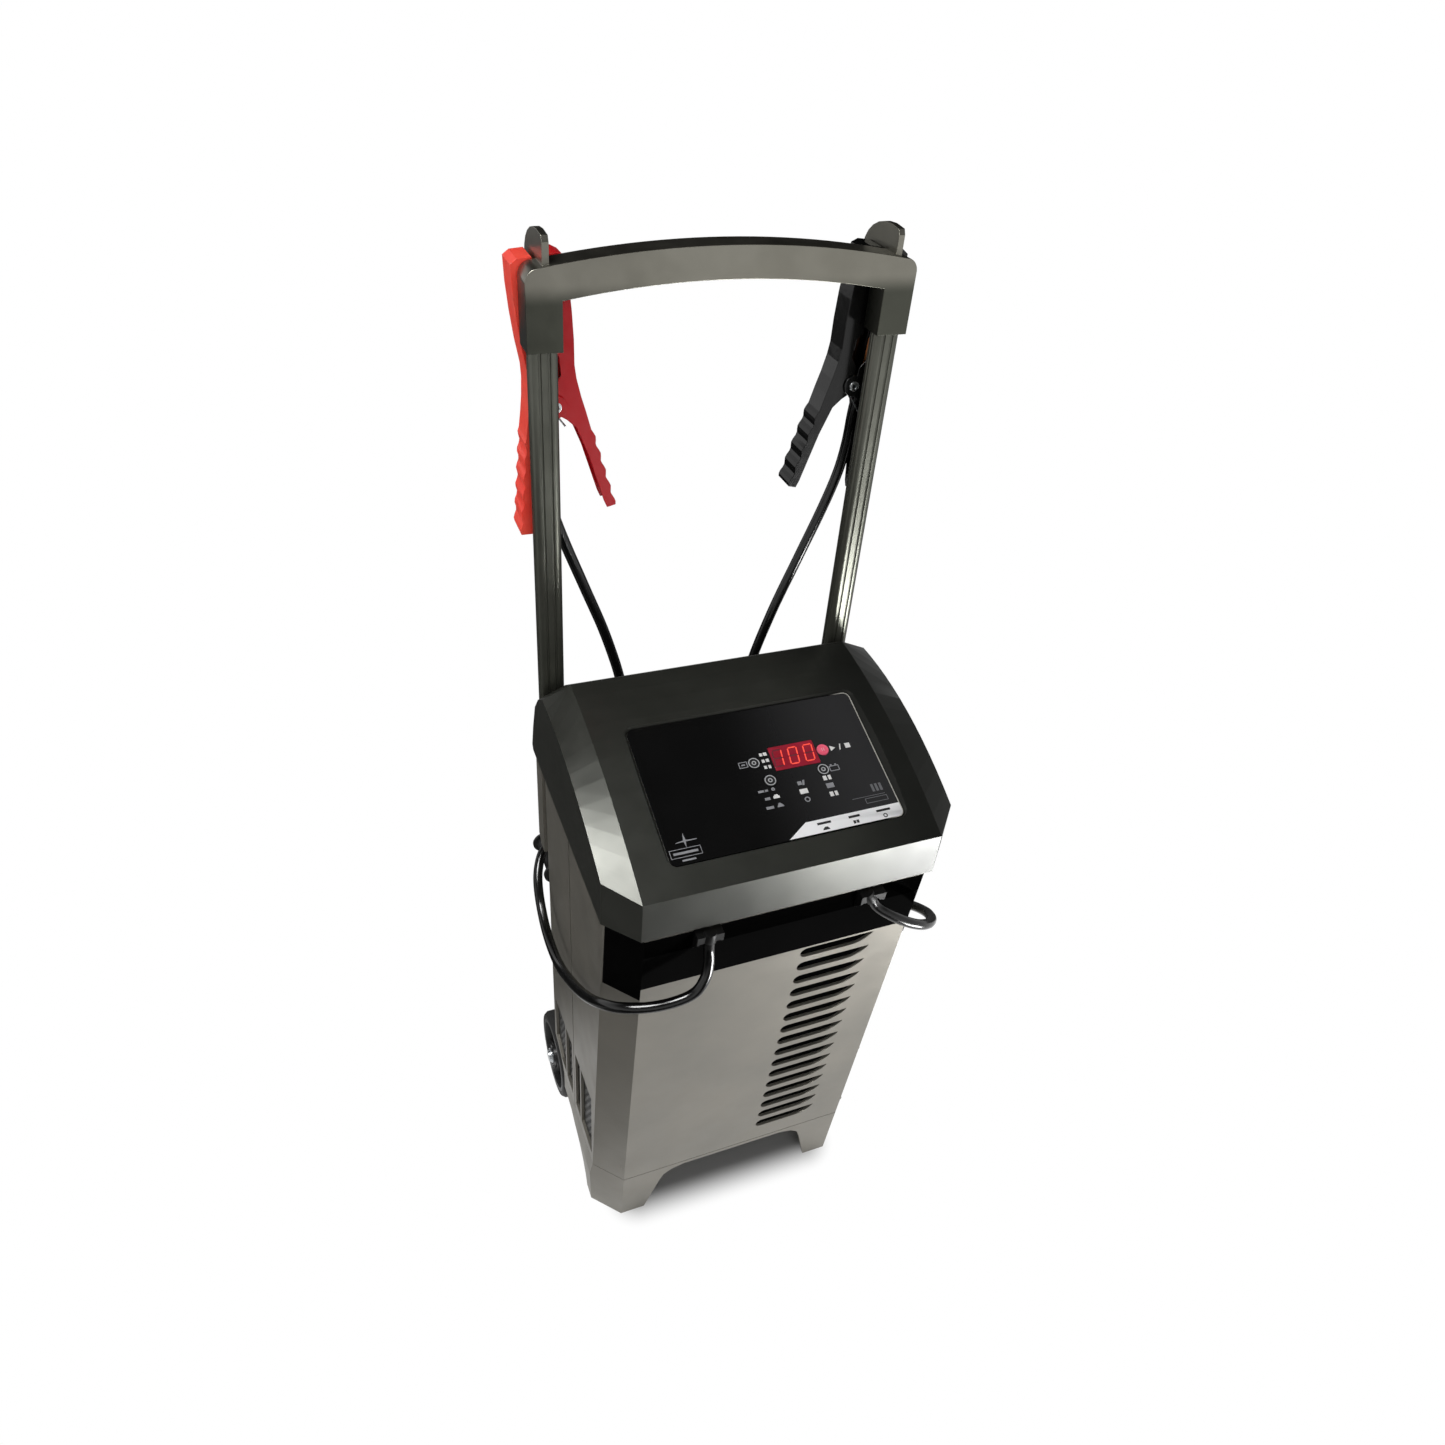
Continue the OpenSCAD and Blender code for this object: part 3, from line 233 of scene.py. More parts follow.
# Polished ABS: the black band and louvre insert.
gloss_abs = finish("abs_polished_black", "#050505", "#080808", (0.1, 0.14), patch=60, grain=6,
                   depth=0.002, IOR=1.5, Specular_IOR_Level=0.005)
# ABS, plain moulded black: frames, board housings and sockets.
black_abs = finish("abs_moulded_black", "#141414", "#191918", (0.42, 0.55), patch=40, grain=1.2,
                   depth=0.02, IOR=1.5)
# Steel tube under baked powder coat: a fine orange peel.
tube_coat = finish("steel_powder_coated_grey", "#53544c", "#5b5c54", (0.28, 0.35), patch=60,
                   grain=2.2, depth=0.015, Metallic=0.65, IOR=1.5)
# Perforated steel under dark powder coat.
screen_coat = finish("steel_powder_coated_dark", "#2b2b29", "#323230", (0.4, 0.5), patch=40,
                     grain=2.0, depth=0.02, IOR=1.5)
# Polyester label printed silver: pale, with a satin skin drawn lengthwise, and painted shade
# dimming it towards the right.
silver_label = finish("polyester_label_silver", "#fafafb", "#fdfdfe", (0.34, 0.42), patch=30,
                      grain=1.2, depth=0.002, stretch=(0.06, 1, 1), IOR=1.5)
blend_along(silver_label, "X", "#f0f0f1", 0.0, 0.07)
# Zinc plate, bright and passivated: faintly blue and cloudy.
zinc = finish("steel_zinc_plated", "#b4b8bb", "#c9ccce", (0.24, 0.36), patch=9, grain=1.2,
              depth=0.006, Metallic=1.0)
# Copper plate over steel: the clamp jaws.
copper = finish("steel_copper_plated", "#b06a3c", "#c98552", (0.26, 0.4), patch=8, grain=1.2,
                depth=0.01, Metallic=1.0)
# PVC dip over pressed steel: thick, wet-looking, slightly wavy.
red_dip = finish("pvc_dipped_red", "#ff4a3c", "#ff5646", (0.3, 0.4), patch=20, grain=5,
                 depth=0.04, IOR=1.53, Specular_IOR_Level=0.2)
# Painted shade: inward of x = -0.118 m the red goes over to a darker crimson on the free lever.
blend_along(red_dip, "X", "#c8141f", -0.135, -0.118)
black_dip = finish("pvc_dipped_black", "#080808", "#0c0c0c", (0.14, 0.2), patch=20, grain=5,
                   depth=0.04, IOR=1.53, Specular_IOR_Level=0.3)
# PVC cable sheath, extruded: smooth, with faint lengthwise waves.
sheath = finish("pvc_extruded_sheath", "#080808", "#0d0d0d", (0.16, 0.22), patch=25, grain=4,
                depth=0.015, IOR=1.52, Specular_IOR_Level=0.45)
# Neoprene glands and boots: duller than the leads.
neoprene = finish("neoprene_moulded", "#0b0b0b", "#111110", (0.38, 0.5), patch=20, grain=1.2,
                  depth=0.02, IOR=1.5, Specular_IOR_Level=0.2)
# Wheel hubs, polypropylene, and tyres, EVA rubber with a dusty skin.
hub_pp = finish("polypropylene_moulded_black", "#141414", "#1b1b1b", (0.4, 0.5), patch=30,
                grain=1.4, depth=0.02, IOR=1.49)
tyre_eva = finish("eva_moulded_tyre", "#161616", "#20201f", (0.6, 0.75), patch=18, grain=1.2,
                  depth=0.05, IOR=1.5)
# Silicon steel laminations under varnish, edge lines 1.2 mm apart (0.5 mm on the real one).
laminations = finish("silicon_steel_varnished", "#4a4744", "#5a5650", (0.35, 0.5), patch=25,
                     grain=1.2, depth=0.05, stretch=(0.02, 1, 0.02), Metallic=0.7)
# Enamelled copper wire, wound.
magnet_wire = finish("copper_wire_enamelled", "#8a3f16", "#a8531f", (0.25, 0.35), patch=10,
                     grain=1.6, depth=0.2, stretch=(0.1, 1, 0.1), Metallic=0.6)
# Extruded aluminium, mill finish.
mill_aluminium = finish("aluminium_extruded_mill", "#a6a8aa", "#b7b9bb", (0.3, 0.42), patch=20,
                        grain=1.2, depth=0.01, stretch=(0.1, 1, 1), Metallic=1.0)
# Nickel-plated diode cases.
nickel = finish("brass_nickel_plated", "#a79c86", "#b8ad96", (0.25, 0.35), patch=6, grain=1.2,
                depth=0.005, Metallic=1.0)
# Epoxy glass board under green solder mask.
board_green = finish("epoxy_glass_green_mask", "#0f4a26", "#17592f", (0.3, 0.42), patch=12,
                     grain=1.2, depth=0.01, IOR=1.55)
# Silicone keys, moulded: soft rose red for start, black for the others.
key_red = finish("silicone_key_red", "#f05c78", "#f66884", (0.4, 0.5), patch=6, grain=1.0,
                 depth=0.01, IOR=1.43)
key_black = finish("silicone_key_black", "#141415", "#1a1a1b", (0.4, 0.5), patch=6, grain=1.0,
                   depth=0.01, IOR=1.43)
# Clear red acrylic over the display.
lens_red = finish("acrylic_tinted_red", "#96202f", "#a4283c", (0.1, 0.16), patch=18, grain=6,
                  depth=0.002, IOR=1.49)
# Screen-printed ink: white marks, a duller grey for the small ones.
ink_white = finish("ink_screen_printed_white", "#d8d8d6", "#e6e6e4", (0.45, 0.6), patch=10,
                   grain=1.0, depth=0.003, IOR=1.5)
ink_grey = finish("ink_screen_printed_grey", "#85868a", "#939498", (0.45, 0.6), patch=10,
                  grain=1.0, depth=0.003, IOR=1.5)
ink_black = finish("ink_screen_printed_black", "#141414", "#1c1c1c", (0.45, 0.6), patch=10,
                   grain=1.0, depth=0.003, IOR=1.5)
ink_key = finish("ink_screen_printed_silver", "#b0b2b4", "#bfc1c3", (0.4, 0.55), patch=6,
                 grain=1.0, depth=0.003, IOR=1.5)
key_mark = finish("ink_screen_printed_rose", "#f0a0ac", "#f4acb8", (0.45, 0.6), patch=6,
                  grain=1.0, depth=0.003, IOR=1.5)
ink_dim = finish("ink_screen_printed_dark_grey", "#5c5d60", "#66676a", (0.45, 0.6), patch=10,
                 grain=1.0, depth=0.003, IOR=1.5)
# Lit segments: light-emitting plastic.
segment_lit = finish("led_segment_lit", "#f0483a", "#fc5a44", (0.4, 0.5), patch=5, grain=1.0,
                     depth=0.002, Emission_Color=shade("#ff4430"), Emission_Strength=0.4)
segment_dark = finish("led_segment_unlit", "#5c1422", "#66182a", (0.4, 0.5), patch=5, grain=1.0,
                      depth=0.002)

# ---------------------------------------------------------------- CAD nodes

# Each finish, the radius in millimetres that rounds its pieces' edges, and the pieces.
FINISHES = [
    (cabinet_abs, 1.0, ["base", "front_shell", "rear_shell", "handle_sockets"]),
    (head_abs, 1.2, ["head_cover"]),
    (gloss_abs, 0.4, ["front_band", "louvre_insert"]),
    (screen_coat, 0.2, ["vent_screens_front", "vent_screens_rear"]),
    (panel_acrylic, 0.3, ["control_panel"]),
    (silver_label, 0.0, ["info_strip"]),
    (lens_red, 0.1, ["display_window"]),
    (key_red, 0.25, ["start_stop_button"]),
    (key_black, 0.1, ["mode_button", "rate_button", "type_button"]),
    (black_abs, 0.3, ["display_module", "tact_switches", "circuit_breaker", "fan_frame",
                      "fan_rotor", "mains_inlet"]),
    (board_green, 0.0, ["control_board"]),
    (zinc, 0.25, ["head_screws", "housing_screws", "handle_screws", "axle", "axle_caps",
                  "transformer_clamp", "red_clamp_rivet", "black_clamp_rivet",
                  "red_clamp_spring", "black_clamp_spring"]),
    (grip_nylon, 1.5, ["handle_grip"]),
    (tube_coat, 0.4, ["handle_tube_left", "handle_tube_right"]),
    (neoprene, 0.5, ["lead_gland_left", "lead_gland_right"]),
    (black_abs, 0.4, ["cord_pegs", "axle_spacers"]),
    (red_dip, 0.5, ["red_clamp_lead_lever", "red_clamp_free_lever"]),
    (black_dip, 0.5, ["black_clamp_lead_lever", "black_clamp_free_lever"]),
    (copper, 0.15, [side + "_clamp_" + part for side in ("red", "black")
                    for part in ("lead_jaw", "free_jaw")]),
    (hub_pp, 0.4, ["wheel_left", "wheel_right"]),
    (tyre_eva, 0.8, ["tyre_left", "tyre_right"]),
    (laminations, 0.3, ["transformer_core"]),
    (magnet_wire, 1.0, ["transformer_windings"]),
    (mill_aluminium, 0.2, ["rectifier_heatsink"]),
    (nickel, 0.2, ["rectifier_diodes"]),
    (sheath, 0.0, ["lead_left", "lead_right"]),
]
ROUNDED_FROM = math.radians(32)
FLAT_WITHIN = math.radians(0.4)
WELD_WITHIN = 0.00001


def dress(piece, material, radius):
    """Gives a CAD node its finish, and rounds its edges by a radius in millimetres."""
    for place in piece.material_slots:
        place.link = "OBJECT"
        place.material = material
    weld = piece.modifiers.new("weld", "WELD")
    weld.merge_threshold = WELD_WITHIN
    flat = piece.modifiers.new("flat", "DECIMATE")
    flat.decimate_type = "DISSOLVE"
    flat.angle_limit = FLAT_WITHIN
    if radius:
        rounding = piece.modifiers.new("rounding", "BEVEL")
        rounding.width = radius * MM
        rounding.segments = 3
        rounding.limit_method = "ANGLE"
        rounding.angle_limit = ROUNDED_FROM
        rounding.harden_normals = True


for material, radius, names in FINISHES:
    for name in names:
        dress(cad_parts[name], material, radius)
for lead in leads:
    lead.data.materials.append(sheath)

# ---------------------------------------------------------------- panel prints

# The panel's own frame, in millimetres: x to the right and y up the slope from the middle of its
# lower edge, z off its face.
PANEL = (Matrix.Translation((0.0035, -0.111, 0.535763))
         @ Matrix.Rotation(math.radians(18.4577), 4, "X") @ Matrix.Scale(MM, 4))
PANEL_W = 200.0
PANEL_H = 125.0
PANEL_CORNER = 6.0
# The ink's height, and how far the faces that carry it stand off the panel.
INK = 0.06
FACE = 0.0
LENS_FACE = 0.2
STRIP_FACE = 0.32
KEY_FACE = 0.8


def raise_faces(bm, faces, height):
    """Pulls flat faces up into a closed plate."""
    pulled = bmesh.ops.extrude_face_region(bm, geom=faces)["geom"]
    bmesh.ops.translate(bm, verts=[v for v in pulled if isinstance(v, bmesh.types.BMVert)],
                        vec=(0, 0, height))


def raise_ring(bm, face, width, height):
    """Cuts a flat face back to a band of this width along its edge, and pulls that up."""
    face.normal_update()
    band = bmesh.ops.inset_individual(bm, faces=[face], thickness=width,
                                      use_even_offset=True)["faces"]
    bmesh.ops.delete(bm, geom=[face], context="FACES_ONLY")
    raise_faces(bm, band, height)


def flat_face(bm, points, z):
    """Adds one flat face with this outline."""
    return bm.faces.new([bm.verts.new((x, y, z)) for x, y in points])


def box_points(x, y, w, h, lean=0.0):
    """The corners of a w by h box about x, y, leaning to the right by lean per unit up."""
    return [(x + sx * w / 2 + sy * h / 2 * lean, y + sy * h / 2)
            for sx, sy in ((-1, -1), (1, -1), (1, 1), (-1, 1))]


def print_plate(bm, points, face=FACE):
    """Prints a flat mark with this outline on a face of the panel."""
    raise_faces(bm, [flat_face(bm, points, face)], INK)


def print_ring(bm, at, outer, inner, face=FACE):
    """Prints a ring on a face of the panel."""
    rim = bmesh.ops.create_circle(bm, cap_ends=True, segments=48, radius=outer,
                                  matrix=Matrix.Translation((at[0], at[1], face)))["verts"]
    raise_ring(bm, rim[0].link_faces[0], outer - inner, INK)


def print_boxes(bm, boxes, face=FACE):
    """Prints boxes, each given by its middle, width and height."""
    for x, y, w, h in boxes:
        print_plate(bm, box_points(x, y, w, h), face)


def add_piece(name, bm, material, body, place=None):
    """Makes a bmesh a piece: in its place, with faces out, riding on its body."""
    if place is not None:
        bmesh.ops.transform(bm, matrix=place, verts=bm.verts)
    bmesh.ops.recalc_face_normals(bm, faces=bm.faces)
    mesh = bpy.data.meshes.new(name)
    bm.to_mesh(mesh)
    bm.free()
    mesh.materials.append(material)
    piece = bpy.data.objects.new(name, mesh)
    scene.collection.objects.link(piece)
    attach(piece, body)
    return piece


DIGIT_LEAN = 0.13
DIGIT_W = 7.6
DIGIT_H = 15.2
DIGIT_PITCH = 13.8
DIGIT_AT = (29.0, 73.7)
STROKE = 1.15


def segment(bm, ax, ay, bx, by):
    """One six-cornered bar of a digit, from a to b, inside the lean of the display."""
    run = Vector((bx - ax, by - ay)).normalized()
    side = Vector((-run.y, run.x)) * STROKE / 2
    a, b = Vector((ax, ay)), Vector((bx, by))
    tip = run * STROKE / 2
    corners = [a, a + tip + side, b - tip + side, b, b - tip - side, a + tip - side]
    lean = [(p.x + (p.y - DIGIT_AT[1]) * DIGIT_LEAN, p.y) for p in corners]
    print_plate(bm, lean, LENS_FACE)


def digit_bars(x):
    """The seven bars of a digit about x: top, upper right, lower right, and so on round."""
    y, w, h = DIGIT_AT[1], DIGIT_W / 2, DIGIT_H / 2
    gap = 0.25
    return [
        (x - w + gap, y + h, x + w - gap, y + h), (x + w, y + h - gap, x + w, y + gap),
        (x + w, y - gap, x + w, y - h + gap), (x - w + gap, y - h, x + w - gap, y - h),
        (x - w, y - gap, x - w, y - h + gap), (x - w, y + h - gap, x - w, y + gap),
        (x - w + gap, y, x + w - gap, y),
    ]


# The lit bars of 1, 0 and 0, by their places in digit_bars.
SHOWN = ((1, 2), (0, 1, 2, 3, 4, 5), (0, 1, 2, 3, 4, 5))
lit, unlit = bmesh.new(), bmesh.new()
for digit, bars_on in enumerate(SHOWN):
    for index, bar in enumerate(digit_bars(DIGIT_AT[0] + (digit - 1) * DIGIT_PITCH)):
        segment(lit if index in bars_on else unlit, *bar)
add_piece("display_digits", lit, segment_lit, "charger", PANEL)
add_piece("display_segments_unlit", unlit, segment_dark, "charger", PANEL)

# A light ring and a small sign on each key, printed on its face and moving with it.
KEYS = {"mode": (-6.6, 73.3), "rate": (1.1, 55.0), "type": (48.6, 55.4)}
for key, at in KEYS.items():
    print_on_key = bmesh.new()
    print_ring(print_on_key, at, 4.7, 3.95, KEY_FACE)
    print_ring(print_on_key, at, 1.9, 1.1, KEY_FACE)
    add_piece(key + "_key_print", print_on_key, ink_key, key, PANEL)
print_on_key = bmesh.new()
print_boxes(print_on_key, [(54.7, 73.5, 0.7, 3.0), (56.3, 73.5, 0.7, 3.0)], KEY_FACE)
add_piece("start_key_print", print_on_key, key_mark, "start_stop", PANEL)

# White signs: three rows of plates left of the display, a battery and a car below it, and two
# split plates on the right.
signs = bmesh.new()
for row, y in enumerate((79.9, 73.7, 67.7)):
    print_boxes(signs, [(1.9, y, 2.4, 3.0), (5.6, y, 3.0 - row * 0.4, 3.0)])
print_boxes(signs, [(25.1, 39.7, 7.0, 4.4)])
for y in (47.5, 32.2):
    print_boxes(signs, [(47.0, y, 3.2, 4.2), (51.2, y, 2.6, 4.2)])
print_boxes(signs, [(1.0, 39.6, 5.4, 2.2), (1.0, 41.2, 3.2, 1.4)])
add_piece("panel_signs_white", signs, ink_white, "charger", PANEL)

# Grey signs: rings, plates and a second vehicle among the white ones, an outlined box by the mode
# key, and an outlined battery beside the type key.
signs = bmesh.new()
print_ring(signs, (25.3, 32.0), 2.4, 1.5)
print_boxes(signs, [(24.2, 47.5, 3.6, 3.4)])
print_plate(signs, box_points(27.6, 47.5, 1.8, 4.6, 0.3))
print_boxes(signs, [(48.8, 40.1, 6.6, 4.4)])
print_plate(signs, [(-1.6, 30.4), (4.4, 30.4), (3.6, 32.2), (1.9, 34.0), (0.6, 34.0),
                    (-0.6, 32.2)])
print_boxes(signs, [(-9.8, 46.9, 5.0, 1.9), (-5.2, 46.9, 2.6, 1.9)])
print_ring(signs, (0.7, 47.1), 1.5, 0.5)
print_boxes(signs, [(-6.8, 39.5, 4.6, 2.4), (-7.6, 31.4, 6.6, 2.4),
                    (-19.2, 73.6, 0.7, 5.6), (-12.3, 73.6, 0.7, 5.6),
                    (-15.75, 71.1, 6.2, 0.7), (-15.75, 76.1, 6.2, 0.7), (-15.75, 73.6, 3.2, 1.4),
                    (54.7, 54.9, 0.7, 5.0), (62.6, 54.9, 0.7, 5.0),
                    (58.65, 52.6, 7.2, 0.7), (58.65, 57.1, 7.2, 0.7),
                    (56.6, 58.2, 1.6, 1.1), (60.7, 58.2, 1.6, 1.1)])
add_piece("panel_signs_grey", signs, ink_grey, "charger", PANEL)

# Over the strip: three small signs in black, a plain bar above each.
signs = bmesh.new()
print_boxes(signs, [(30.3, 8.6, 12.0, 2.0), (57.0, 8.6, 10.0, 2.0), (83.3, 8.6, 12.5, 2.0)],
            STRIP_FACE)
print_ring(signs, (83.3, 3.6), 1.9, 1.1, STRIP_FACE)
print_boxes(signs, [(55.6, 3.7, 2.2, 2.8), (58.4, 3.7, 2.2, 2.8)], STRIP_FACE)
print_plate(signs, [(27.2, 2.4), (33.4, 2.4), (33.0, 3.6), (31.8, 5.0), (29.6, 5.0), (28.0, 3.8)],
            STRIP_FACE)
add_piece("strip_signs_black", signs, ink_black, "charger", PANEL)

# Beside the start key: a triangle for start and a square for stop, with a stroke between them.
signs = bmesh.new()
print_plate(signs, [(62.4, 70.8), (67.0, 73.4), (62.4, 76.0)])
print_plate(signs, box_points(71.4, 73.4, 1.0, 5.6, 0.3))
print_boxes(signs, [(78.4, 73.4, 4.6, 4.6)])
add_piece("start_signs_white", signs, ink_white, "charger", PANEL)

# Low on the right: three bars, a line and an outlined box.
signs = bmesh.new()
print_boxes(signs, [(83.2, 30.0, 2.2, 7.0), (86.8, 30.0, 2.2, 7.0), (90.4, 30.0, 2.2, 7.0),
                    (76.8, 23.4, 29.6, 0.45),
                    (82.4, 17.3, 20.0, 0.5), (82.4, 21.5, 20.0, 0.5),
                    (72.65, 19.4, 0.5, 3.7), (92.15, 19.4, 0.5, 3.7)])
add_piece("corner_signs_grey", signs, ink_dim, "charger", PANEL)

# Low on the left: a pulse over an outlined box with a bar in it, and a short bar below.
signs = bmesh.new()
raise_ring(signs, flat_face(signs, box_points(-85.4, 9.6, 25.4, 7.4), FACE), 0.5, INK)
print_boxes(signs, [(-85.4, 9.6, 20.0, 2.0)])
PULSE_TOP = [(-91.0, 18.7), (-84.6, 19.6), (-83.2, 26.0), (-82.4, 19.6), (-73.6, 19.2)]
PULSE_FOOT = [(-73.6, 18.7), (-82.6, 18.4), (-83.6, 13.4), (-84.4, 18.4), (-91.0, 18.2)]
print_plate(signs, PULSE_TOP + PULSE_FOOT)
print_boxes(signs, [(-84.6, 3.2, 11.0, 1.4)])
add_piece("pulse_sign_grey", signs, ink_grey, "charger", PANEL)

# The polished edge of the acrylic, all round: a painted highlight makes it pale on the right.
EDGE_OUT = 0.1
EDGE_W = 0.8
edge = bmesh.new()
flat_face(edge, box_points(0.0, PANEL_H / 2, PANEL_W + 2 * EDGE_OUT, PANEL_H + 2 * EDGE_OUT), FACE)
bmesh.ops.bevel(edge, geom=list(edge.verts), offset=PANEL_CORNER + EDGE_OUT, segments=8,
                profile=0.5, affect="VERTICES", material=-1)
edge.faces.ensure_lookup_table()
raise_ring(edge, edge.faces[0], EDGE_W, INK * 2)
add_piece("panel_edge", edge, panel_edge, "charger", PANEL)

# ---------------------------------------------------------------- floor, lights, world

# The paper keeps its shadow round the charger's footprint and is plain white further out.
FOOTPRINT = (0.095, 0.07, 0.0)
FADE_TO = 0.042
# Painted shade: near the footprint the camera and reflections see the paper at PAPER_SHADED,
# darker than the PAPER_WHITE that light sees, which deepens the shadow there.
PAPER_WHITE = 0.8
PAPER_SHADED = 0.3
FLOOR_HALF = 12.0
floor_mesh = bpy.data.meshes.new("studio_floor")
bm = bmesh.new()
bmesh.ops.create_grid(bm, x_segments=1, y_segments=1, size=FLOOR_HALF)
bm.to_mesh(floor_mesh)
bm.free()
floor = bpy.data.objects.new("studio_floor", floor_mesh)
scene.collection.objects.link(floor)

paper = bpy.data.materials.new("studio_paper_white")
paper.use_nodes = True
tree = paper.node_tree
tree.nodes.clear()
path = node(tree, "ShaderNodeLightPath").outputs
seen = node(tree, "ShaderNodeMath", {0: path["Is Camera Ray"], 1: path["Is Glossy Ray"]},
            operation="MAXIMUM").outputs[0]
seen = node(tree, "ShaderNodeMath", {0: seen, 1: path["Is Transmission Ray"]},
            operation="MAXIMUM").outputs[0]
gain = node(tree, "ShaderNodeMapRange", {"Value": seen, "To Min": PAPER_WHITE,
                                        "To Max": PAPER_SHADED})
matt = node(tree, "ShaderNodeBsdfDiffuse", {"Color": gain.outputs["Result"]}).outputs[0]
place = node(tree, "ShaderNodeTexCoord").outputs["Object"]
away = node(tree, "ShaderNodeVectorMath", {0: place}, operation="ABSOLUTE").outputs[0]
away = node(tree, "ShaderNodeVectorMath", {0: away, 1: FOOTPRINT}, operation="SUBTRACT").outputs[0]
away = node(tree, "ShaderNodeVectorMath", {0: away, 1: (0, 0, 0)}, operation="MAXIMUM").outputs[0]
away = node(tree, "ShaderNodeVectorMath", {0: away}, operation="LENGTH").outputs["Value"]
fade = node(tree, "ShaderNodeMapRange", {"Value": away, "From Max": FADE_TO},
            interpolation_type="SMOOTHSTEP")
share = node(tree, "ShaderNodeMath", {0: seen, 1: fade.outputs["Result"]},
             operation="MULTIPLY").outputs[0]
open_white = node(tree, "ShaderNodeEmission", {"Color": shade("#ffffff")}).outputs[0]
mixed = node(tree, "ShaderNodeMixShader", {0: share, 1: matt, 2: open_white}).outputs[0]
node(tree, "ShaderNodeOutputMaterial", {"Surface": mixed})
floor_mesh.materials.append(paper)

# The room: plain grey light on surfaces, and in reflections white walls under a dark ceiling.
FILL_WALLS = 0.42
FILL_CEILING = 0.16
MIRRORED_WALLS = 1.0
MIRRORED_CEILING = 0.07
CEILING_FROM = 0.2
CEILING_FULL = 0.7
world = bpy.data.worlds.new("studio")
scene.world = world
world.use_nodes = True
tree = world.node_tree
tree.nodes.clear()
path = node(tree, "ShaderNodeLightPath").outputs
place = node(tree, "ShaderNodeTexCoord").outputs["Generated"]
up = node(tree, "ShaderNodeSeparateXYZ", {"Vector": place}).outputs["Z"]
ceiling = node(tree, "ShaderNodeMapRange", {"Value": up, "From Min": CEILING_FROM,
                                            "From Max": CEILING_FULL},
               interpolation_type="SMOOTHSTEP").outputs["Result"]
lit_by = node(tree, "ShaderNodeMapRange", {"Value": ceiling, "To Min": FILL_WALLS,
                                          "To Max": FILL_CEILING}).outputs["Result"]
mirrored = node(tree, "ShaderNodeMapRange", {"Value": ceiling, "To Min": MIRRORED_WALLS,
                                            "To Max": MIRRORED_CEILING}).outputs["Result"]
fill = node(tree, "ShaderNodeBackground", {"Strength": lit_by}).outputs[0]
shine = node(tree, "ShaderNodeBackground", {"Strength": mirrored}).outputs[0]
white = node(tree, "ShaderNodeBackground", {"Color": shade("#ffffff")}).outputs[0]
sky = node(tree, "ShaderNodeMixShader", {0: path["Is Glossy Ray"], 1: fill, 2: shine}).outputs[0]
clear = node(tree, "ShaderNodeMath", {0: path["Is Camera Ray"], 1: path["Is Transmission Ray"]},
             operation="MAXIMUM").outputs[0]
sky = node(tree, "ShaderNodeMixShader", {0: clear, 1: sky, 2: white}).outputs[0]
node(tree, "ShaderNodeOutputWorld", {"Surface": sky})


def add_softbox(name, at, aim, size, watts, mirrored=False):
    """A square area lamp at a place, turned to face another.

    It lights surfaces or, if mirrored, shows in reflections only."""
    lamp = bpy.data.lights.new(name, "AREA")
    lamp.size = size
    lamp.energy = watts
    softbox = bpy.data.objects.new(name, lamp)
    softbox.location = at
    softbox.rotation_euler = (Vector(aim) - Vector(at)).to_track_quat("-Z", "Y").to_euler()
    softbox.visible_glossy = mirrored
    softbox.visible_diffuse = not mirrored
    scene.collection.objects.link(softbox)


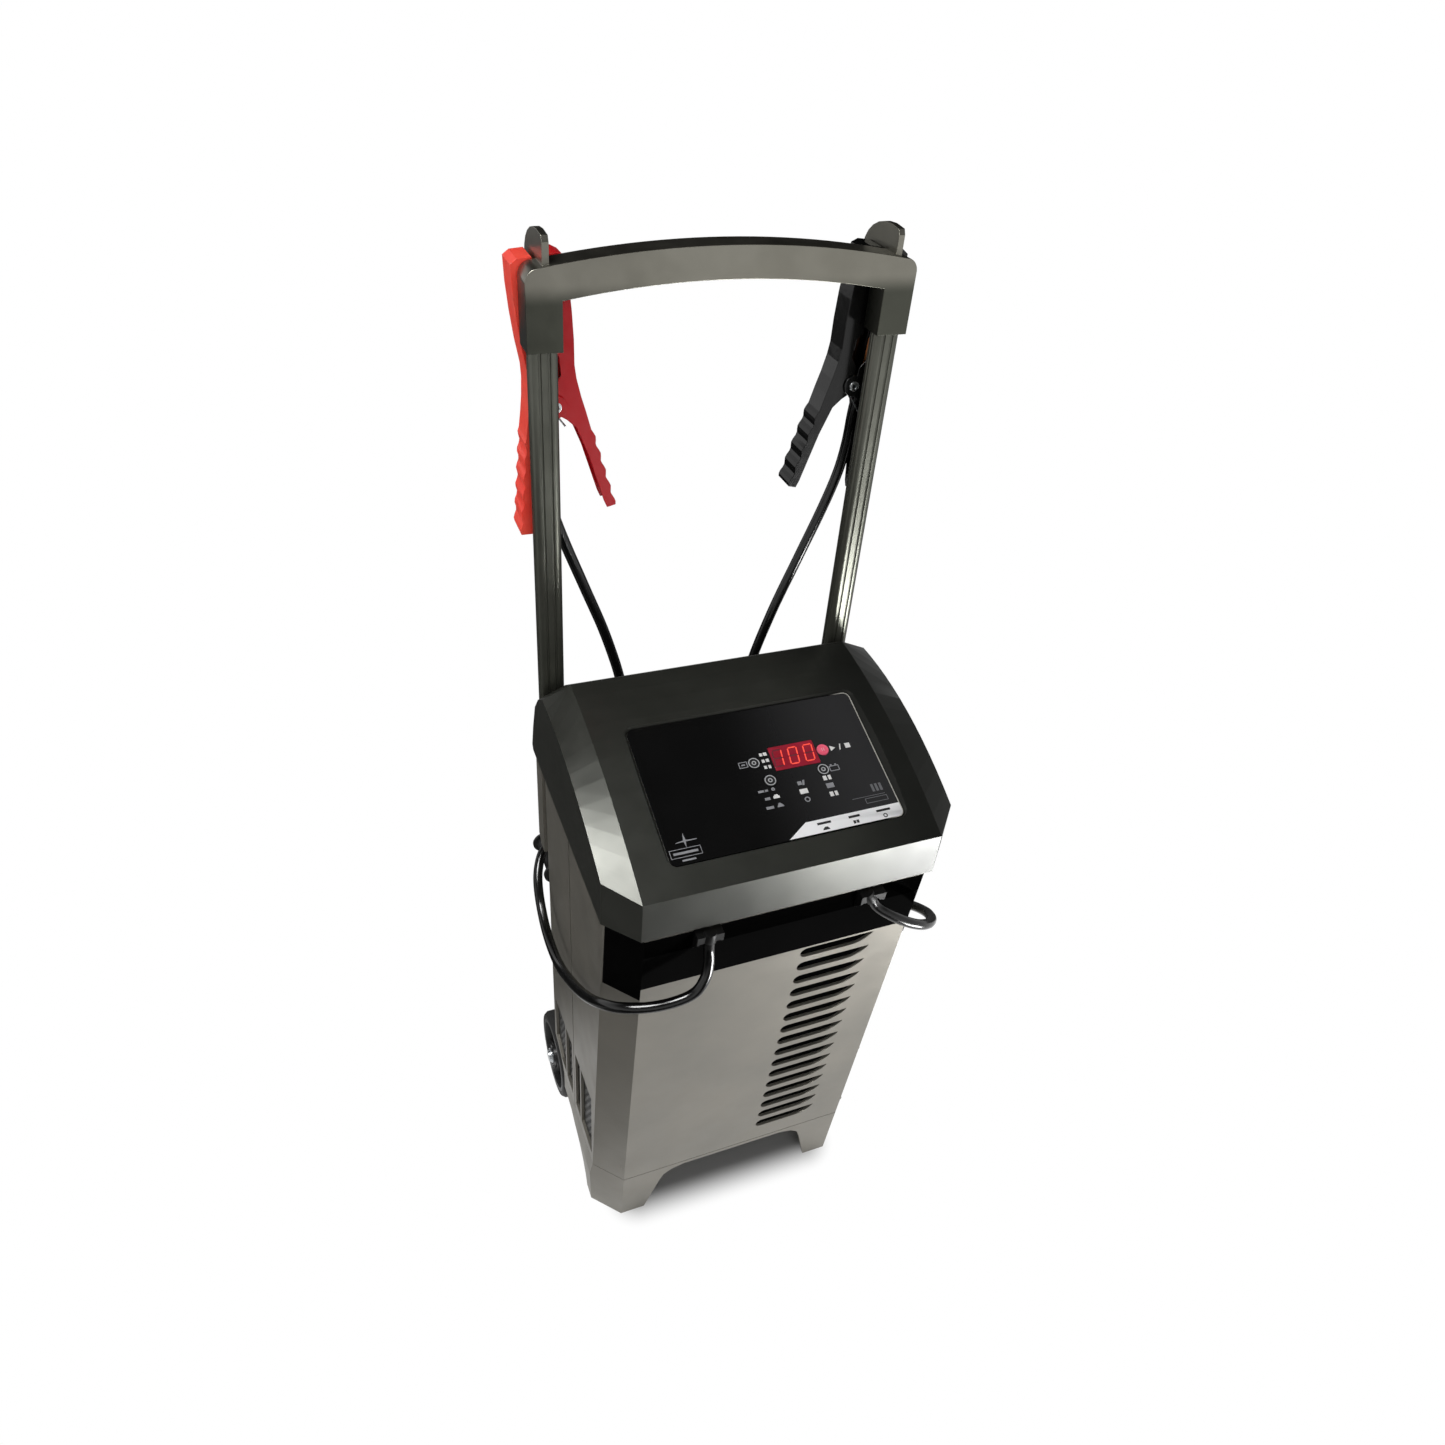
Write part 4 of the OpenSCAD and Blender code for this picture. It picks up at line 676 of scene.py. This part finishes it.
def add_flag(name, corners, edges, strength):
    """A black card with soft edges that only reflections see: it darkens what mirrors it.

    edges holds an axis and the two places along it between which the card goes from clear
    to full strength."""
    card = bpy.data.materials.new(name)
    card.use_nodes = True
    tree = card.node_tree
    tree.nodes.clear()
    place = node(tree, "ShaderNodeTexCoord").outputs["Object"]
    axes = node(tree, "ShaderNodeSeparateXYZ", {"Vector": place}).outputs
    share = strength
    for axis, clear_at, full_at in edges:
        edge = node(tree, "ShaderNodeMapRange", {"Value": axes[axis], "From Min": clear_at,
                                                "From Max": full_at},
                    interpolation_type="SMOOTHSTEP")
        share = node(tree, "ShaderNodeMath", {0: edge.outputs["Result"], 1: share},
                     operation="MULTIPLY").outputs[0]
    clear = node(tree, "ShaderNodeBsdfTransparent").outputs[0]
    black = node(tree, "ShaderNodeEmission", {"Color": shade("#000000")}).outputs[0]
    mixed = node(tree, "ShaderNodeMixShader", {0: share, 1: clear, 2: black}).outputs[0]
    node(tree, "ShaderNodeOutputMaterial", {"Surface": mixed})
    bm = bmesh.new()
    bm.faces.new([bm.verts.new(corner) for corner in corners])
    mesh = bpy.data.meshes.new(name)
    bm.to_mesh(mesh)
    bm.free()
    mesh.materials.append(card)
    flag = bpy.data.objects.new(name, mesh)
    scene.collection.objects.link(flag)
    flag.visible_camera = False
    flag.visible_diffuse = False
    flag.visible_shadow = False
    flag.visible_transmission = False


def floor_card(x0, y0, x1, y1, z):
    """The corners of a card that lies just over the floor."""
    return [(x0, y0, z), (x1, y0, z), (x1, y1, z), (x0, y1, z)]


add_softbox("softbox_front", (-0.2, -2.2, 1.5), (0.0, 0.0, 0.45), 1.4, 16.0)
add_softbox("softbox_top", (-0.2, -0.1, 2.4), (0.0, 0.0, 0.5), 1.6, 17.5)
add_softbox("softbox_left", (-2.0, 0.5, 1.2), (0.0, 0.0, 0.5), 1.0, 14.0)
add_softbox("softbox_bevel", (-0.62, -0.2, 1.64), (-0.14, -0.1, 0.54), 0.5, 22.0, mirrored=True)
add_softbox("softbox_lip", (0.44, -0.58, 0.02), (0.11, -0.13, 0.5), 0.4, 20.0, mirrored=True)
add_flag("flag_left", floor_card(-2.0, -3.0, -0.1, 2.0, 0.003), [("X", -0.1, -0.35)], 0.7)
add_flag("flag_corner", floor_card(-2.0, -3.0, -0.1, 0.1, 0.0035),
         [("X", -0.1, -0.3), ("Y", 0.1, -0.1)], 0.7)
add_flag("flag_front", floor_card(-2.0, -1.4, 0.5, -0.42, 0.004),
         [("Y", -0.42, -0.5), ("X", 0.4, 0.0)], 0.85)
add_flag("flag_middle", floor_card(-4.0, -3.2, 6.0, -0.7, 0.005),
         [("Y", -0.7, -1.2), ("Y", -3.2, -2.5), ("X", 1.0, 0.6)], 0.95)
add_flag("flag_rear", floor_card(-3.0, 0.1, 4.0, 5.0, 0.007), [("Y", 0.1, 0.22)], 0.92)
add_flag("flag_behind", [(-0.5, 2.0, 0.5), (2.4, 2.0, 0.5), (2.4, 2.0, 4.0), (-0.5, 2.0, 4.0)],
         [("Z", 0.5, 0.9)], 1.0)

scene.view_settings.view_transform = "Standard"
